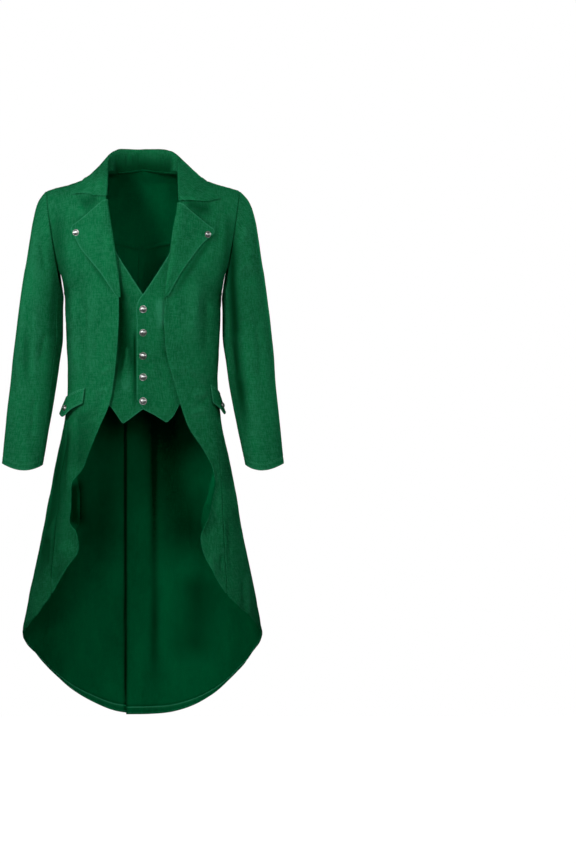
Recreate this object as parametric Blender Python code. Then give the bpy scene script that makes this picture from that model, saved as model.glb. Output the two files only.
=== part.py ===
"""Cutaway tailcoat, filled out with no wearer: one thin closed solid per sewn piece.

Tables are in millimetres, objects in metres. +Z is up and the front faces -Y, so the wearer's right is -X.
The origin is on the midline, in the plane of the shoulder line, at the height of the neck's side.
"""

import math

import bmesh
import bpy
from mathutils import Vector
from mathutils.bvhtree import BVHTree

# Cloth and seams
WALL = 2.0
PULL = 0.25
SEAT = 0.3
VEST_SEAT = 0.85

# Shoulders: the ridge falls outwards from the side of the neck, and the cloth is upright below ROLL_BASE
NECK_X = 80.0
NECK_Z = 20.0
RIDGE_SLOPE = 0.29
ROLL_BASE = -110.0
SEAM_AHEAD = 0.06
SQUARENESS = 2.3

# Sizes of the parts that are sewn on
EDGE_STRIP = 19.0
UNDERLAP = 38.0
SEAM_ALLOWANCE = 10.0
VENT_TOP = -483.0
BELT = {"centre_x": 5.0, "centre_z": -387.0, "length": 156.0, "width": 30.0, "button_x": (-55.0, 65.0)}
PLACKET = {"top": -497.0, "bottom": -624.0, "first_turn": 154.0, "last_turn": 182.0, "button_turn": 167.0}
BUTTON = {"vest": 16.0, "lapel": 14.0, "flap": 14.0, "belt": 14.0, "cuff": 12.0}
BUTTON_SIDES = 14
VEST_BUTTON_Z = [-284, -335, -385, -431, -483]
CUFF_BUTTON_Z = [-533, -569, -602]
FLAP_BUTTON_DOWN = 0.62


def table(names, rows):
    return {name: [row[i] for row in rows] for i, name in enumerate(names.split())}


# Outline of the body in plan, from the top down
BODY = table(
    "z half_width front back",
    [
        (60, 236, 98, 96),
        (-26, 236, 108, 104),
        (-110, 226, 118, 110),
        (-180, 202, 124, 112),
        (-220, 185, 125, 111),
        (-255, 173.5, 125, 108),
        (-290, 170, 123, 105),
        (-320, 168.5, 121, 102),
        (-383, 165, 112, 92),
        (-436, 163.5, 106, 86),
        (-480, 166.5, 105, 88),
        (-541, 175, 108, 100),
        (-620, 191, 114, 120),
        (-700, 206, 121, 138),
        (-779, 220, 128, 152),
        (-884, 242, 138, 170),
        (-990, 262, 146, 184),
        (-1180, 284, 156, 198),
    ],
)

# Armhole: its highest, front, back and lowest points
ARMHOLE = {"top": (212, 0, -20.5), "front": (197, -62, -130), "back": (192, 68, -130), "low": (172, 0, -255)}

# Sleeve below the armhole, by level: its outer, inner, front and back points
SLEEVE = table(
    "outer_x outer_z inner_x inner_z front_x front_y front_z back_x back_y back_z",
    [
        (227, -39, 175.5, -268, 208, -65, -158, 203, 72, -158),
        (240, -78, 176, -282, 217, -66, -188, 212, 74, -188),
        (248, -122, 176, -296, 223, -66, -218, 218, 74, -218),
        (258, -185, 176, -309, 227, -65, -255, 222, 72, -255),
        (268, -248, 176, -325, 229, -63, -293, 225, 69, -293),
        (278, -325, 176.5, -345, 230, -61, -335, 228, 65, -335),
        (285, -383, 183, -392, 235, -60, -387, 234, 59, -387),
        (290, -436, 189.5, -440, 240, -62, -437, 239, 51, -437),
        (296, -488, 197, -490, 246, -66, -489, 246, 40, -489),
        (301, -541, 206.5, -543, 252, -71, -545, 253, 28, -545),
        (305, -585, 213.5, -587, 257, -75, -592, 258, 14, -592),
        (308, -619, 220, -622, 261, -79, -634, 262, 3, -634),
    ],
)

# Turns round the armhole, in degrees: 90 is its top, 0 the front, 180 the back, 270 below the arm
ROUND_FRONT = [80, 56, 32, 10, -10, -30, -50, -68, -90]
ROUND_YOKE = [80, 104, 126, 145, 163]
ROUND_BACK = [163, 183, 203, 225, 248, 270]
TOP_SLEEVE_TURNS = [-50, -30, -10, 10, 32, 56, 80, 104, 126, 145, 163, 183, 203]
TOP_CUFF_TURNS = [-50, -30, -10, 10, 31, 52, 73, 94, 113, 131, 148, 165, 182]
UNDER_SLEEVE_TURNS = [203, 225, 248, 270, 292, 310]
UNDER_CUFF_TURNS = [182, 208, 234, 260, 286, 310]

# Heights on the side seam, shared by the front and the back
SEAM_ROWS = [-295, -340, -390, -436, -485, -540, -590, -632, -660]
SEAM_ROWS += [-688, -716, -746, -776, -808, -842, -872, -900]

# Soft flutes of the skirt. The turn is negative on the wearer's right, and the depth is negative in a trough
FLUTES = table(
    "turn spread top_z depth",
    [
        (-164, 8, -620, -4),
        (-143, 10, -560, 5),
        (-120, 9, -600, -4.5),
        (-101, 8, -640, 3),
        (-66, 9, -600, -3),
        (160, 8, -580, -4.5),
        (138, 11, -610, 5),
        (117, 9, -640, -4),
        (72, 9, -620, -3.5),
    ],
)
FLUTE_GROWS = 260.0

# Height on the front edge for each armhole row of the front, and on the centre back for each row of the back
FRONT_STARTS = [NECK_Z, 2, -14, -29, -45, -88, -138, -195, -252]
BACK_STARTS = [-138, -172, -202, -226, -246, -264]

# Each side's own shapes. "edge" is the front edge seen from ahead, and "curl" turns its strip outwards.
# "sleeve_out" and "sleeve_in" widen or narrow this side's sleeve at each level.
RIGHT = {
    "name": "right",
    "sign": -1,
    "edge": table(
        "z x",
        [
            (20, 80),
            (-41, 79.8),
            (-95, 72.5),
            (-153, 64.4),
            (-210, 57),
            (-269, 51.5),
            (-325, 52.8),
            (-404, 58.8),
            (-450, 64.5),
            (-492, 72.7),
            (-524, 85.8),
            (-554, 100.7),
            (-589, 114),
            (-634, 132),
            (-669, 137.6),
            (-736, 137.6),
            (-768, 137.6),
            (-805, 139),
            (-834, 158),
            (-871, 180),
            (-900, 196),
        ],
    ),
    "curl": table(
        "z degrees",
        [
            (-300, 0),
            (-632, 0),
            (-660, 110),
            (-688, 176),
            (-716, 176),
            (-746, 140),
            (-776, 36),
            (-808, 0),
        ],
    ),
    "seam": table(
        "z turn",
        [
            (-255, 90),
            (-340, 86),
            (-436, 79),
            (-540, 73),
            (-632, 68),
            (-720, 63),
            (-808, 58),
            (-900, 53),
        ],
    ),
    "edge_below": table("z turn", [(-932, 59), (-957, 71), (-984, 87)]),
    "hem": table(
        "share z",
        [
            (0, -1187),
            (0.1, -1180),
            (0.17, -1167),
            (0.27, -1148),
            (0.45, -1096),
            (0.68, -1040),
            (0.87, -1006),
            (1, -984),
        ],
    ),
    "sleeve_out": [0] * 13,
    "sleeve_in": [0] * 13,
    "vest_edge": table(
        "z x",
        [
            (0, 98),
            (-60, 88),
            (-110, 74),
            (-157, 60),
            (-205, 31),
            (-244, 5),
            (-262, -8),
            (-300, -13),
            (-466, -13),
        ],
    ),
    "vest_hem": table(
        "x z",
        [
            (-13, -492),
            (0, -500),
            (22, -517),
            (42, -532),
            (58, -510),
            (72, -490),
            (110, -458),
            (170, -444),
        ],
    ),
    "vest_shares": [0.0, 0.045, 0.12, 0.195, 0.3, 0.41, 0.6, 0.8, 1.0],
    "lapel": table(
        "roll_z end_x end_z",
        [
            (-46, 151, -101),
            (-62, 154.5, -109),
            (-92, 146, -127),
            (-126, 136.6, -146),
            (-166, 114, -176),
            (-206, 90, -206),
            (-238, 69, -238),
            (-258, 58, -255),
        ],
    ),
    "lapel_button": (145.7, -117),
    "flap": table(
        "turn top_z end_z stand",
        [
            (47, -455, -488, 7),
            (59, -461, -501, 12),
            (71, -468, -518, 14),
            (83, -473, -512, 14),
            (93, -476, -504, 11),
        ],
    ),
}
LEFT = {
    "name": "left",
    "sign": 1,
    "edge": table(
        "z x",
        [
            (20, 80),
            (-49, 79.8),
            (-100, 72),
            (-164, 62.2),
            (-215, 55.5),
            (-260, 50.4),
            (-310, 45.5),
            (-376, 50.4),
            (-451, 70.2),
            (-500, 84),
            (-539, 99),
            (-587, 130),
            (-632, 149),
            (-662, 147),
            (-694, 140),
            (-718, 131.7),
            (-755, 124.6),
            (-783, 123.8),
            (-808, 130),
            (-856, 152),
            (-900, 179),
        ],
    ),
    "curl": table(
        "z degrees",
        [
            (-300, 0),
            (-590, 0),
            (-632, 50),
            (-660, 160),
            (-688, 178),
            (-716, 172),
            (-746, 110),
            (-776, 20),
            (-808, 0),
        ],
    ),
    "seam": table(
        "z turn",
        [
            (-255, 90),
            (-340, 84),
            (-436, 74),
            (-540, 66),
            (-632, 59),
            (-720, 54),
            (-808, 50),
            (-900, 46),
        ],
    ),
    "edge_below": table("z turn", [(-928, 55), (-954, 68), (-980, 86)]),
    "hem": table(
        "share z",
        [
            (0, -1187),
            (0.1, -1183),
            (0.17, -1174),
            (0.27, -1157),
            (0.45, -1104),
            (0.68, -1042),
            (0.87, -1006),
            (1, -984),
        ],
    ),
    "sleeve_out": [0, 3, 6, 6, 5, 4, 4, 3, 1, 0, 0, 0, 0],
    "sleeve_in": [0, 0, 0, 0, 0, 0, 0, 0, 0, 1, 2, 4, 5],
    "vest_edge": table(
        "z x",
        [
            (0, 98),
            (-60, 88),
            (-110, 75),
            (-157, 61),
            (-205, 32),
            (-244, 6),
            (-262, -11),
            (-300, -13),
            (-466, -13),
        ],
    ),
    "vest_hem": table(
        "x z",
        [
            (-13, -478),
            (0, -500),
            (22, -511),
            (54, -532),
            (68, -510),
            (80, -487),
            (110, -462),
            (170, -446),
        ],
    ),
    "vest_shares": [0.0, 0.045, 0.13, 0.247, 0.32, 0.41, 0.6, 0.8, 1.0],
    "lapel": table(
        "roll_z end_x end_z",
        [
            (-54, 152, -109),
            (-70, 154, -115),
            (-98, 141, -129),
            (-132, 125, -145),
            (-170, 105, -172),
            (-206, 84, -202),
            (-238, 65, -235),
            (-258, 55, -254),
        ],
    ),
    "lapel_button": (141, -121),
    "flap": table(
        "turn top_z end_z stand",
        [
            (61, -448, -487, 6),
            (70, -454, -499, 10),
            (79, -460, -512, 12),
            (88, -466, -508, 12),
            (96, -470, -502, 9),
        ],
    ),
}

# How much of the hem's own shape each of the last rows of a back takes
HEM_WEIGHTS = {-1: 1.0, -2: 0.6, -3: 0.25}

# Waistcoat fronts: where each row starts on the free edge, and ends below the shoulder, armhole or side
VEST_ROWS = [
    (0.30, -8),
    (-50, -60),
    (-105, -125),
    (-157, -190),
    (-205, -235),
    (-244, -265),
    (-270, -300),
    (-315, -335),
    (-365, -375),
    (-415, -412),
    (-450, -430),
]
VEST_SIDE = table("z x", [(-8, 165), (-60, 160), (-125, 156), (-250, 154)])
VEST_DRAWN_IN = table("z turn", [(-265, 24), (-300, 13), (-400, 4)])

# Collar, from the centre back to the notch: neck seam, fold, middle of the fall and its edge
COLLAR = table(
    "neck_x neck_y neck_z fold_x fold_y fold_z fall_x fall_y fall_z end_x end_y end_z",
    [
        (0, 42.4, 32.8, 0, 49, 75.5, 0, 60, 58, 0, 64, 38),
        (27, 37.5, 28.2, 29, 46, 75.5, 32, 57, 56, 36, 60, 33),
        (52.5, 25, 25, 54, 36, 74, 64, 45, 49, 74, 46, 22),
        (69.5, 6, 24.1, 74, 14, 59, 92, 17, 38, 113, 16, 12),
        (76, -15, 20, 76.5, -14, 46, 101, -14, 27, 126, -17, 6),
        (76.5, -41, 13, 77.5, -42, 26, 107, -43, 14, 140, -42, -10),
        (76.5, -65, -4, 78.5, -70, 2, 110, -64, -8, 148, -55, -23),
        (77.5, -86, -33, 79.5, -92, -36, 112, -82, -36, 152, -62, -35),
    ],
)

# The stations that differ on the wearer's left, where the fall is a little wider and the notch lower
COLLAR_LEFT_END = {
    3: (69.5, 6, 24.1, 76, 14, 60, 97, 17, 40, 120, 16, 13),
    4: (76, -15, 20, 78, -14, 47, 106, -14, 28, 132, -17, 6),
    5: (76.5, -67, -8, 78, -73, -4, 113, -68, -15, 155, -58, -32),
    6: (77.5, -89, -43, 79.5, -96, -48, 117, -84, -48, 166, -62, -48),
}

COLOURS = {
    "outer": (0.013, 0.165, 0.072, 1.0),
    "vest": (0.012, 0.155, 0.068, 1.0),
    "button": (0.26, 0.27, 0.26, 1.0),
}

built = {}


def clear_scene():
    for obj in list(bpy.data.objects):
        bpy.data.objects.remove(obj, do_unlink=True)


def smooth(xs, ys, x):
    """A soft curve through a table, with the ends held."""
    if xs[0] > xs[-1]:
        xs, ys = xs[::-1], ys[::-1]
    if x <= xs[0]:
        return ys[0]
    if x >= xs[-1]:
        return ys[-1]
    i = max(k for k in range(len(xs) - 1) if xs[k] <= x)

    def slope(k):
        if k in (0, len(xs) - 1):
            return 0.0
        before = (ys[k] - ys[k - 1]) / (xs[k] - xs[k - 1])
        after = (ys[k + 1] - ys[k]) / (xs[k + 1] - xs[k])
        return 0.0 if before * after <= 0 else 2 * before * after / (before + after)

    span = xs[i + 1] - xs[i]
    t = (x - xs[i]) / span
    first = slope(i) if i else (ys[1] - ys[0]) / (xs[1] - xs[0])
    last = slope(i + 1) if i + 2 < len(xs) else (ys[-1] - ys[-2]) / (xs[-1] - xs[-2])
    return (
        ys[i] * (1 + 2 * t) * (1 - t) ** 2
        + first * span * t * (1 - t) ** 2
        + ys[i + 1] * t * t * (3 - 2 * t)
        + last * span * t * t * (t - 1)
    )


def plain(xs, ys, x):
    """Straight lines through a table, with the ends held."""
    if xs[0] > xs[-1]:
        xs, ys = xs[::-1], ys[::-1]
    if x <= xs[0]:
        return ys[0]
    if x >= xs[-1]:
        return ys[-1]
    i = max(k for k in range(len(xs) - 1) if xs[k] <= x)
    return ys[i] + (ys[i + 1] - ys[i]) * (x - xs[i]) / (xs[i + 1] - xs[i])


def ridge(x):
    return NECK_Z - RIDGE_SLOPE * (abs(x) - NECK_X)


def power(value):
    return abs(value) ** (2 / SQUARENESS)


def body_point(turn, fall):
    """A point of the body on the +X side. turn runs from 0 at the centre front to 180 at the centre back.

    fall is 0 on the shoulder ridge and 1 at ROLL_BASE, and grows by 1 for each 100 mm below it.
    A negative fall lies just over the ridge, on the other side of it.
    """
    angle = math.radians(turn)
    z = ROLL_BASE - 100 * (abs(fall) - 1) if abs(fall) >= 1 else -20.0
    for _ in range(12 if abs(fall) < 1 else 1):
        x = smooth(BODY["z"], BODY["half_width"], z) * power(math.sin(angle))
        if abs(fall) < 1:
            z = ROLL_BASE + (ridge(x) - ROLL_BASE) * math.cos(abs(fall) * math.pi / 2)
    ahead = (turn < 90) != (fall < 0)
    deep = smooth(BODY["z"], BODY["front" if ahead else "back"], z) * power(math.cos(angle))
    over = math.sin(min(1.0, abs(fall)) * math.pi / 2)
    y = deep * over * (-1 if turn < 90 else 1) * (-1 if fall < 0 else 1)
    return Vector((x, y, z))


def fall_at(z):
    """The fall at a height below ROLL_BASE."""
    return 1 + (ROLL_BASE - z) / 100


def place(x, z, back=False):
    """The turn and fall of the body's point at this x and z."""
    share = min(1.0, abs(x) / smooth(BODY["z"], BODY["half_width"], z))
    turn = math.degrees(math.asin(share ** (SQUARENESS / 2)))
    if z <= ROLL_BASE:
        fall = fall_at(z)
    else:
        fall = math.acos(max(0.0, min(1.0, (z - ROLL_BASE) / (ridge(x) - ROLL_BASE)))) / (math.pi / 2)
    return (180 - turn if back else turn), fall


def place_point(point, back=False):
    """The turn and fall nearest to a point in space, as for the armhole's own curve."""
    turn, fall = place(point.x, point.z, back)
    if point.z > ROLL_BASE:
        width = smooth(BODY["z"], BODY["half_width"], point.z)
        share = (1 - min(1.0, abs(point.x) / width) ** SQUARENESS) ** (1 / SQUARENESS)
        deep = smooth(BODY["z"], BODY["back" if back else "front"], point.z) * share
        across = abs(point.y) / max(deep, 1.0)
        fall = math.atan2(across, (point.z - ROLL_BASE) / (ridge(point.x) - ROLL_BASE)) / (math.pi / 2)
    return turn, fall


def ring_point(top, low, front, back, degrees):
    """A point of the oval through four points, at this turn round it."""
    top, low, front, back = (Vector(p) for p in (top, low, front, back))
    middle = (top + low) / 2
    ahead = front - middle
    behind = back - middle
    c = math.cos(math.radians(degrees))
    s = math.sin(math.radians(degrees))
    return middle + (top - low) / 2 * s + (ahead - behind) / 2 * c + (ahead + behind) / 2 * c * c


def armhole_point(degrees):
    return ring_point(ARMHOLE["top"], ARMHOLE["low"], ARMHOLE["front"], ARMHOLE["back"], degrees)


def lerp(a, b, t):
    return a + (b - a) * t


def body_normal(turn, fall):
    low = max(0.0, turn - 0.5)
    along = body_point(min(180.0, turn + 0.5), fall) - body_point(low, fall)
    down = body_point(turn, fall + 0.01) - body_point(turn, fall - 0.01 if fall > 0.02 else fall)
    return down.cross(along).normalized() * (-1 if down.cross(along).dot(outward(turn)) < 0 else 1)


def outward(turn):
    angle = math.radians(turn)
    return Vector((math.sin(angle), -math.cos(angle), 0.05))


def off_body(turn, fall, out):
    point = body_point(turn, fall)
    if out == 0:
        return point
    return point + body_normal(turn, fall) * out


def mirrored(grid, sign):
    """A grid made on the +X side, turned over for the wearer's right."""
    if sign > 0:
        return grid
    return [[Vector((-p.x, p.y, p.z)) for p in row] for row in grid]


def fluted(grid):
    """The grid with the skirt's soft flutes, which grow towards the hem."""
    result = []
    for row in grid:
        line = []
        for p in row:
            if p.z < max(FLUTES["top_z"]):
                turn, fall = place(p.x, p.z, back=p.y > 0)
                signed = turn if p.x > 0 else -turn
                out = 0.0
                for middle, spread, top_z, depth in zip(*FLUTES.values()):
                    grown = min(1.0, max(0.0, (top_z - p.z) / FLUTE_GROWS))
                    eased = grown * grown * (3 - 2 * grown)
                    out += depth * eased * math.exp(-(((signed - middle) / spread) ** 2))
                normal = body_normal(turn, fall)
                p = p + Vector((normal.x if p.x > 0 else -normal.x, normal.y, normal.z)) * out
            line.append(p)
        result.append(line)
    return result


def pulled(grid, amount=PULL):
    """The grid with its whole border drawn in, which leaves a seam's gap to its neighbours."""
    rows, cols = len(grid), len(grid[0])
    moved = [[p.copy() for p in row] for row in grid]
    for i in range(rows):
        for j in range(cols):
            shift = Vector((0, 0, 0))
            if i in (0, rows - 1):
                step = grid[1 if i == 0 else rows - 2][j] - grid[i][j]
                shift += step.normalized() * amount
            if j in (0, cols - 1):
                step = grid[i][1 if j == 0 else cols - 2] - grid[i][j]
                shift += step.normalized() * amount
            moved[i][j] = grid[i][j] + shift
    return moved


def material(name, colour, rough, metal=0.0):
    made = bpy.data.materials.new(name)
    made.use_nodes = True
    shader = made.node_tree.nodes["Principled BSDF"]
    shader.inputs["Base Color"].default_value = colour
    shader.inputs["Roughness"].default_value = rough
    shader.inputs["Metallic"].default_value = metal
    made.diffuse_color = colour
    return made


def add_object(name, points, faces, colour, rough=0.85, metal=0.0):
    mesh = bpy.data.meshes.new(name)
    mesh.from_pydata([p * 0.001 for p in points], [], faces)
    work = bmesh.new()
    work.from_mesh(mesh)
    bmesh.ops.recalc_face_normals(work, faces=work.faces)
    if work.calc_volume(signed=True) < 0:
        bmesh.ops.reverse_faces(work, faces=work.faces)
    work.to_mesh(mesh)
    work.free()
    mesh.materials.append(material(name + "_colour", COLOURS[colour], rough, metal))
    obj = bpy.data.objects.new(name, mesh)
    bpy.context.scene.collection.objects.link(obj)
    built[name] = obj
    return obj


def grid_normals(grid):
    rows, cols = len(grid), len(grid[0])
    normals = []
    for i in range(rows):
        line = []
        for j in range(cols):
            down = grid[min(i + 1, rows - 1)][j] - grid[max(i - 1, 0)][j]
            along = grid[i][min(j + 1, cols - 1)] - grid[i][max(j - 1, 0)]
            line.append(along.cross(down).normalized())
        normals.append(line)
    return normals


def cloth(name, grid, colour="outer"):
    """A closed sheet, WALL thick, on a grid of points, with one diagonal choice for both its faces."""
    rows, cols = len(grid), len(grid[0])
    normals = grid_normals(grid)
    flat = [p for row in grid for p in row]
    flat_normals = [n for row in normals for n in row]
    points = [p + n * WALL / 2 for p, n in zip(flat, flat_normals)]
    points += [p - n * WALL / 2 for p, n in zip(flat, flat_normals)]
    under = len(flat)
    faces = []
    for i in range(rows - 1):
        for j in range(cols - 1):
            a, b = i * cols + j, i * cols + j + 1
            c, d = b + cols, a + cols
            if (flat[a] - flat[c]).length <= (flat[b] - flat[d]).length:
                pair = [(a, b, c), (a, c, d)]
            else:
                pair = [(a, b, d), (b, c, d)]
            faces += pair
            faces += [tuple(k + under for k in reversed(face)) for face in pair]
    border = [j for j in range(cols)]
    border += [i * cols + cols - 1 for i in range(1, rows)]
    border += [(rows - 1) * cols + j for j in range(cols - 2, -1, -1)]
    border += [i * cols for i in range(rows - 2, 0, -1)]
    for a, b in zip(border, border[1:] + border[:1]):
        faces += [(a, a + under, b), (b, a + under, b + under)]
    return add_object(name, points, faces, colour)


def tree_of(*names):
    points, faces = [], []
    for name in names:
        mesh = built[name].data
        first = len(points)
        points += [v.co * 1000 for v in mesh.vertices]
        faces += [[k + first for k in polygon.vertices] for polygon in mesh.polygons]
    return BVHTree.FromPolygons(points, faces)


def lifted(grid, tree, clear):
    """The grid with each point that is below, or too near, the pieces under it moved out to this distance."""
    normals = grid_normals(grid)
    result = []
    for row, row_normals in zip(grid, normals):
        line = []
        for p, normal in zip(row, row_normals):
            if normal.dot(Vector((p.x, p.y, 50))) < 0:
                normal = -normal
            hit, _, _, _ = tree.ray_cast(p + normal * 25, -normal, 60)
            if hit is not None and (p - hit).dot(normal) < clear:
                p = hit + normal * clear
            line.append(p)
        result.append(line)
    return result


def row_on_body(start, end, shares, armhole=None):
    """Points from start to end, each a turn and fall. An armhole point draws the row's end onto it."""
    line = [body_point(lerp(start[0], end[0], t), lerp(start[1], end[1], t)) for t in shares]
    if armhole is not None:
        miss = armhole - line[-1]
        line = [p + miss * t**3 for p, t in zip(line, shares)]
    return line


def on_shoulder(turn):
    """The turn and fall of the shoulder seam, from the side of the neck to the top of the armhole."""
    neck_turn = place(NECK_X, NECK_Z)[0]
    tip_turn, tip_fall = place_point(armhole_point(ROUND_YOKE[0]))
    return turn, lerp(SEAM_AHEAD, tip_fall, (turn - neck_turn) / (tip_turn - neck_turn))


def front_ends():
    """Rows of a front: where each starts on the front edge, and ends on the armhole or the side seam."""
    rows = []
    for start_z, degrees in zip(FRONT_STARTS, ROUND_FRONT):
        rows.append((start_z, None, armhole_point(degrees)))
    for z in SEAM_ROWS:
        rows.append((z, z, None))
    return rows


def make_front(side):
    edge, curl, seam = side["edge"], side["curl"], side["seam"]
    shares = [0.25, 0.45, 0.65, 0.83, 1.0]
    grid = []
    for number, (start_z, seam_z, hole) in enumerate(front_ends()):
        edge_x = smooth(edge["z"], edge["x"], start_z)
        bend = math.radians(plain(curl["z"], curl["degrees"], start_z))
        end = place_point(hole) if hole else (plain(seam["z"], seam["turn"], seam_z), fall_at(seam_z))
        end_x = hole.x if hole else body_point(*end).x
        strip = min(EDGE_STRIP, (end_x - edge_x) * 0.3)
        fold_x = edge_x + strip * (1 + math.cos(bend)) / 2
        lift = 4.5 * (1 - math.cos(bend)) / 2
        line = []
        for back_by in (1.0, 0.5):
            x = fold_x - strip * back_by * math.cos(bend)
            spot = on_shoulder(place(x, start_z)[0]) if number == 0 else place(x, start_z)
            line.append(off_body(*spot, strip * back_by * math.sin(bend) + lift))
        spot = on_shoulder(place(fold_x, start_z)[0]) if number == 0 else place(fold_x, start_z)
        line.append(off_body(*spot, lift * 0.5))
        inner = row_on_body(spot, end, [0.0, 0.1, *shares], hole)
        line += inner[1:]
        grid.append(line)
    return cloth("front_" + side["name"], pulled(fluted(mirrored(grid, side["sign"])), 0.4))


def yoke_seam(share):
    """The seam between yoke and back, from the centre back to the armhole."""
    start = place(0, -138, back=True)
    end = place_point(armhole_point(ROUND_YOKE[-1]), back=True)
    bow = -0.09 * 4 * share * (1 - share)
    turn = lerp(start[0], end[0], share)
    fall = lerp(start[1], end[1], share) + bow
    return turn, fall


def yoke_half():
    """Rows of the yoke on the +X side, from its top to its lower seam, each from the centre back outwards."""
    tip_turn = place_point(armhole_point(ROUND_YOKE[0]))[0]
    top = [place(x, z, back=True) for x, z in ((0, 32), (27, 27.3), (54, 24), (72, 22.3))]
    for k in range(6):
        share = k / 5
        turn, fall = on_shoulder(lerp(place(NECK_X, NECK_Z)[0], tip_turn, share))
        top.append((180 - turn, -fall))
    shares = [k / 9 for k in range(10)]
    rows = []
    for number, degrees in enumerate(ROUND_YOKE):
        down = number / (len(ROUND_YOKE) - 1)
        hole = armhole_point(degrees)
        line = []
        for (turn, fall), share in zip(top, shares):
            low_turn, low_fall = yoke_seam(share)
            line.append(body_point(lerp(turn, low_turn, down), lerp(fall, low_fall, down)))
        miss = hole - line[-1]
        rows.append([p + miss * t**3 for p, t in zip(line, shares)])
    return rows


def make_yoke():
    half = yoke_half()
    grid = [[Vector((-p.x, p.y, p.z)) for p in reversed(row[1:])] + row for row in half]
    return cloth("yoke_back", pulled([list(reversed(row)) for row in grid], 0.4))


def back_ends(side):
    rows = []
    for start_z, degrees in zip(BACK_STARTS, ROUND_BACK):
        rows.append((start_z, None, armhole_point(degrees)))
    deepest, corner = side["hem"]["z"][0], side["edge_below"]["z"][-1]
    seam = side["seam"]
    low = [(z, plain(seam["z"], seam["turn"], z)) for z in SEAM_ROWS]
    low += list(zip(side["edge_below"]["z"], side["edge_below"]["turn"]))
    for z, turn in low:
        start_z = lerp(BACK_STARTS[-1], deepest, (z + 255) / (corner + 255))
        rows.append((start_z, (turn, fall_at(z)), None))
    return rows


def make_back(side):
    """The left back runs on under the right one, as seam allowance and then as the vent's underlap."""
    shares = [k / 9 for k in range(10)]
    hem = side["hem"]
    grid = []
    rows = back_ends(side)
    for number, (start_z, end, hole) in enumerate(rows):
        start = place(0, start_z, back=True)
        weight = HEM_WEIGHTS.get(number - len(rows), 0.0)
        if weight:
            line = []
            for share in shares:
                straight = lerp(hem["z"][0], hem["z"][-1], share)
                drop = (smooth(hem["share"], hem["z"], share) - straight) * weight / 100
                line.append(body_point(lerp(start[0], end[0], share), lerp(start[1], end[1], share) - drop))
        elif number == 0:
            line = [body_point(*yoke_seam(share)) for share in shares]
            miss = hole - line[-1]
            line = [p + miss * t**3 for p, t in zip(line, shares)]
        else:
            finish = end or place_point(hole, back=True)
            line = row_on_body(start, finish, shares, hole)
        if side["sign"] > 0:
            reach = lerp(SEAM_ALLOWANCE, UNDERLAP, min(1.0, max(0.0, (VENT_TOP - start_z) / 30)))
            level = start[1]
            spots = ((reach, -5.2), (reach / 2, -4.6), (1.5, -3.4))
            under = [off_body(place(x, start_z, back=True)[0], level, inward) for x, inward in spots]
            for p in under[:2]:
                p.x = -p.x
            line = under + [off_body(place(12, start_z, back=True)[0], level, 0)] + line[1:]
        grid.append(line)
    flipped = [list(reversed(row)) for row in fluted(mirrored(grid, side["sign"]))]
    return cloth("back_" + side["name"], pulled(flipped))


def sleeve_ring(side, level, degrees):
    """A point of the sleeve. Level 0 is the armhole, and each further level is a row of SLEEVE."""
    if level == 0:
        stand_off = 0.4 + 1.05 * (1 - math.sin(math.radians(degrees)))
        return armhole_point(degrees) + Vector((stand_off, 0, 0))
    row = {key: SLEEVE[key][level - 1] for key in SLEEVE}
    mid = (row["front_y"] + row["back_y"]) / 2
    return ring_point(
        (row["outer_x"] + side["sleeve_out"][level], mid, row["outer_z"]),
        (row["inner_x"] + side["sleeve_in"][level], mid, row["inner_z"]),
        (row["front_x"], row["front_y"], row["front_z"]),
        (row["back_x"], row["back_y"], row["back_z"]),
        degrees,
    )


def sleeve_point(side, down, degrees):
    """A point of the sleeve at any level from 0 to the last row."""
    lower = min(int(down), len(SLEEVE["outer_x"]) - 1)
    return sleeve_ring(side, lower, degrees).lerp(sleeve_ring(side, lower + 1, degrees), down - lower)


def sleeve_grid(side, armhole_turns, cuff_turns):
    levels = len(SLEEVE["outer_x"]) + 1
    grid = []
    for level in range(levels):
        ease = min(1.0, level / 6)
        grid.append([sleeve_ring(side, level, lerp(a, b, ease)) for a, b in zip(armhole_turns, cuff_turns)])
    return mirrored(grid, side["sign"])


def make_sleeve(side):
    top = sleeve_grid(side, TOP_SLEEVE_TURNS, TOP_CUFF_TURNS)
    under = sleeve_grid(side, UNDER_SLEEVE_TURNS, UNDER_CUFF_TURNS)
    cloth("sleeve_top_" + side["name"], pulled(top, 0.5))
    cloth("sleeve_under_" + side["name"], pulled(under, 0.5))


def make_lapel(side):
    """The lapel rolls over the front's edge and lies back on the front, a few millimetres clear of it."""
    edge, rows = side["edge"], side["lapel"]
    grid = []
    for roll_z, end_x, end_z in zip(rows["roll_z"], rows["end_x"], rows["end_z"]):
        roll_x = smooth(edge["z"], edge["x"], roll_z)
        width = max(end_x - roll_x, 3.0)
        line = [off_body(*place(roll_x - 3.0, roll_z), -2.0), off_body(*place(roll_x - 3.6, roll_z), 2.6)]
        for share, out in ((0.06, 6.2), (0.3, 5.8), (0.55, 4.0), (0.78, 2.6), (1.0, 2.4)):
            x, z = lerp(roll_x, end_x, share), lerp(roll_z, end_z, share)
            high = out if width > 40 else lerp(2.8, out, width / 40)
            line.append(off_body(*place(x, z), high))
        grid.append(line)
    grid = mirrored(grid, side["sign"])
    lying = lifted([row[3:] for row in grid], tree_of("front_" + side["name"]), 2.55)
    return cloth("lapel_" + side["name"], [row[:3] + rest for row, rest in zip(grid, lying)])


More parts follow.
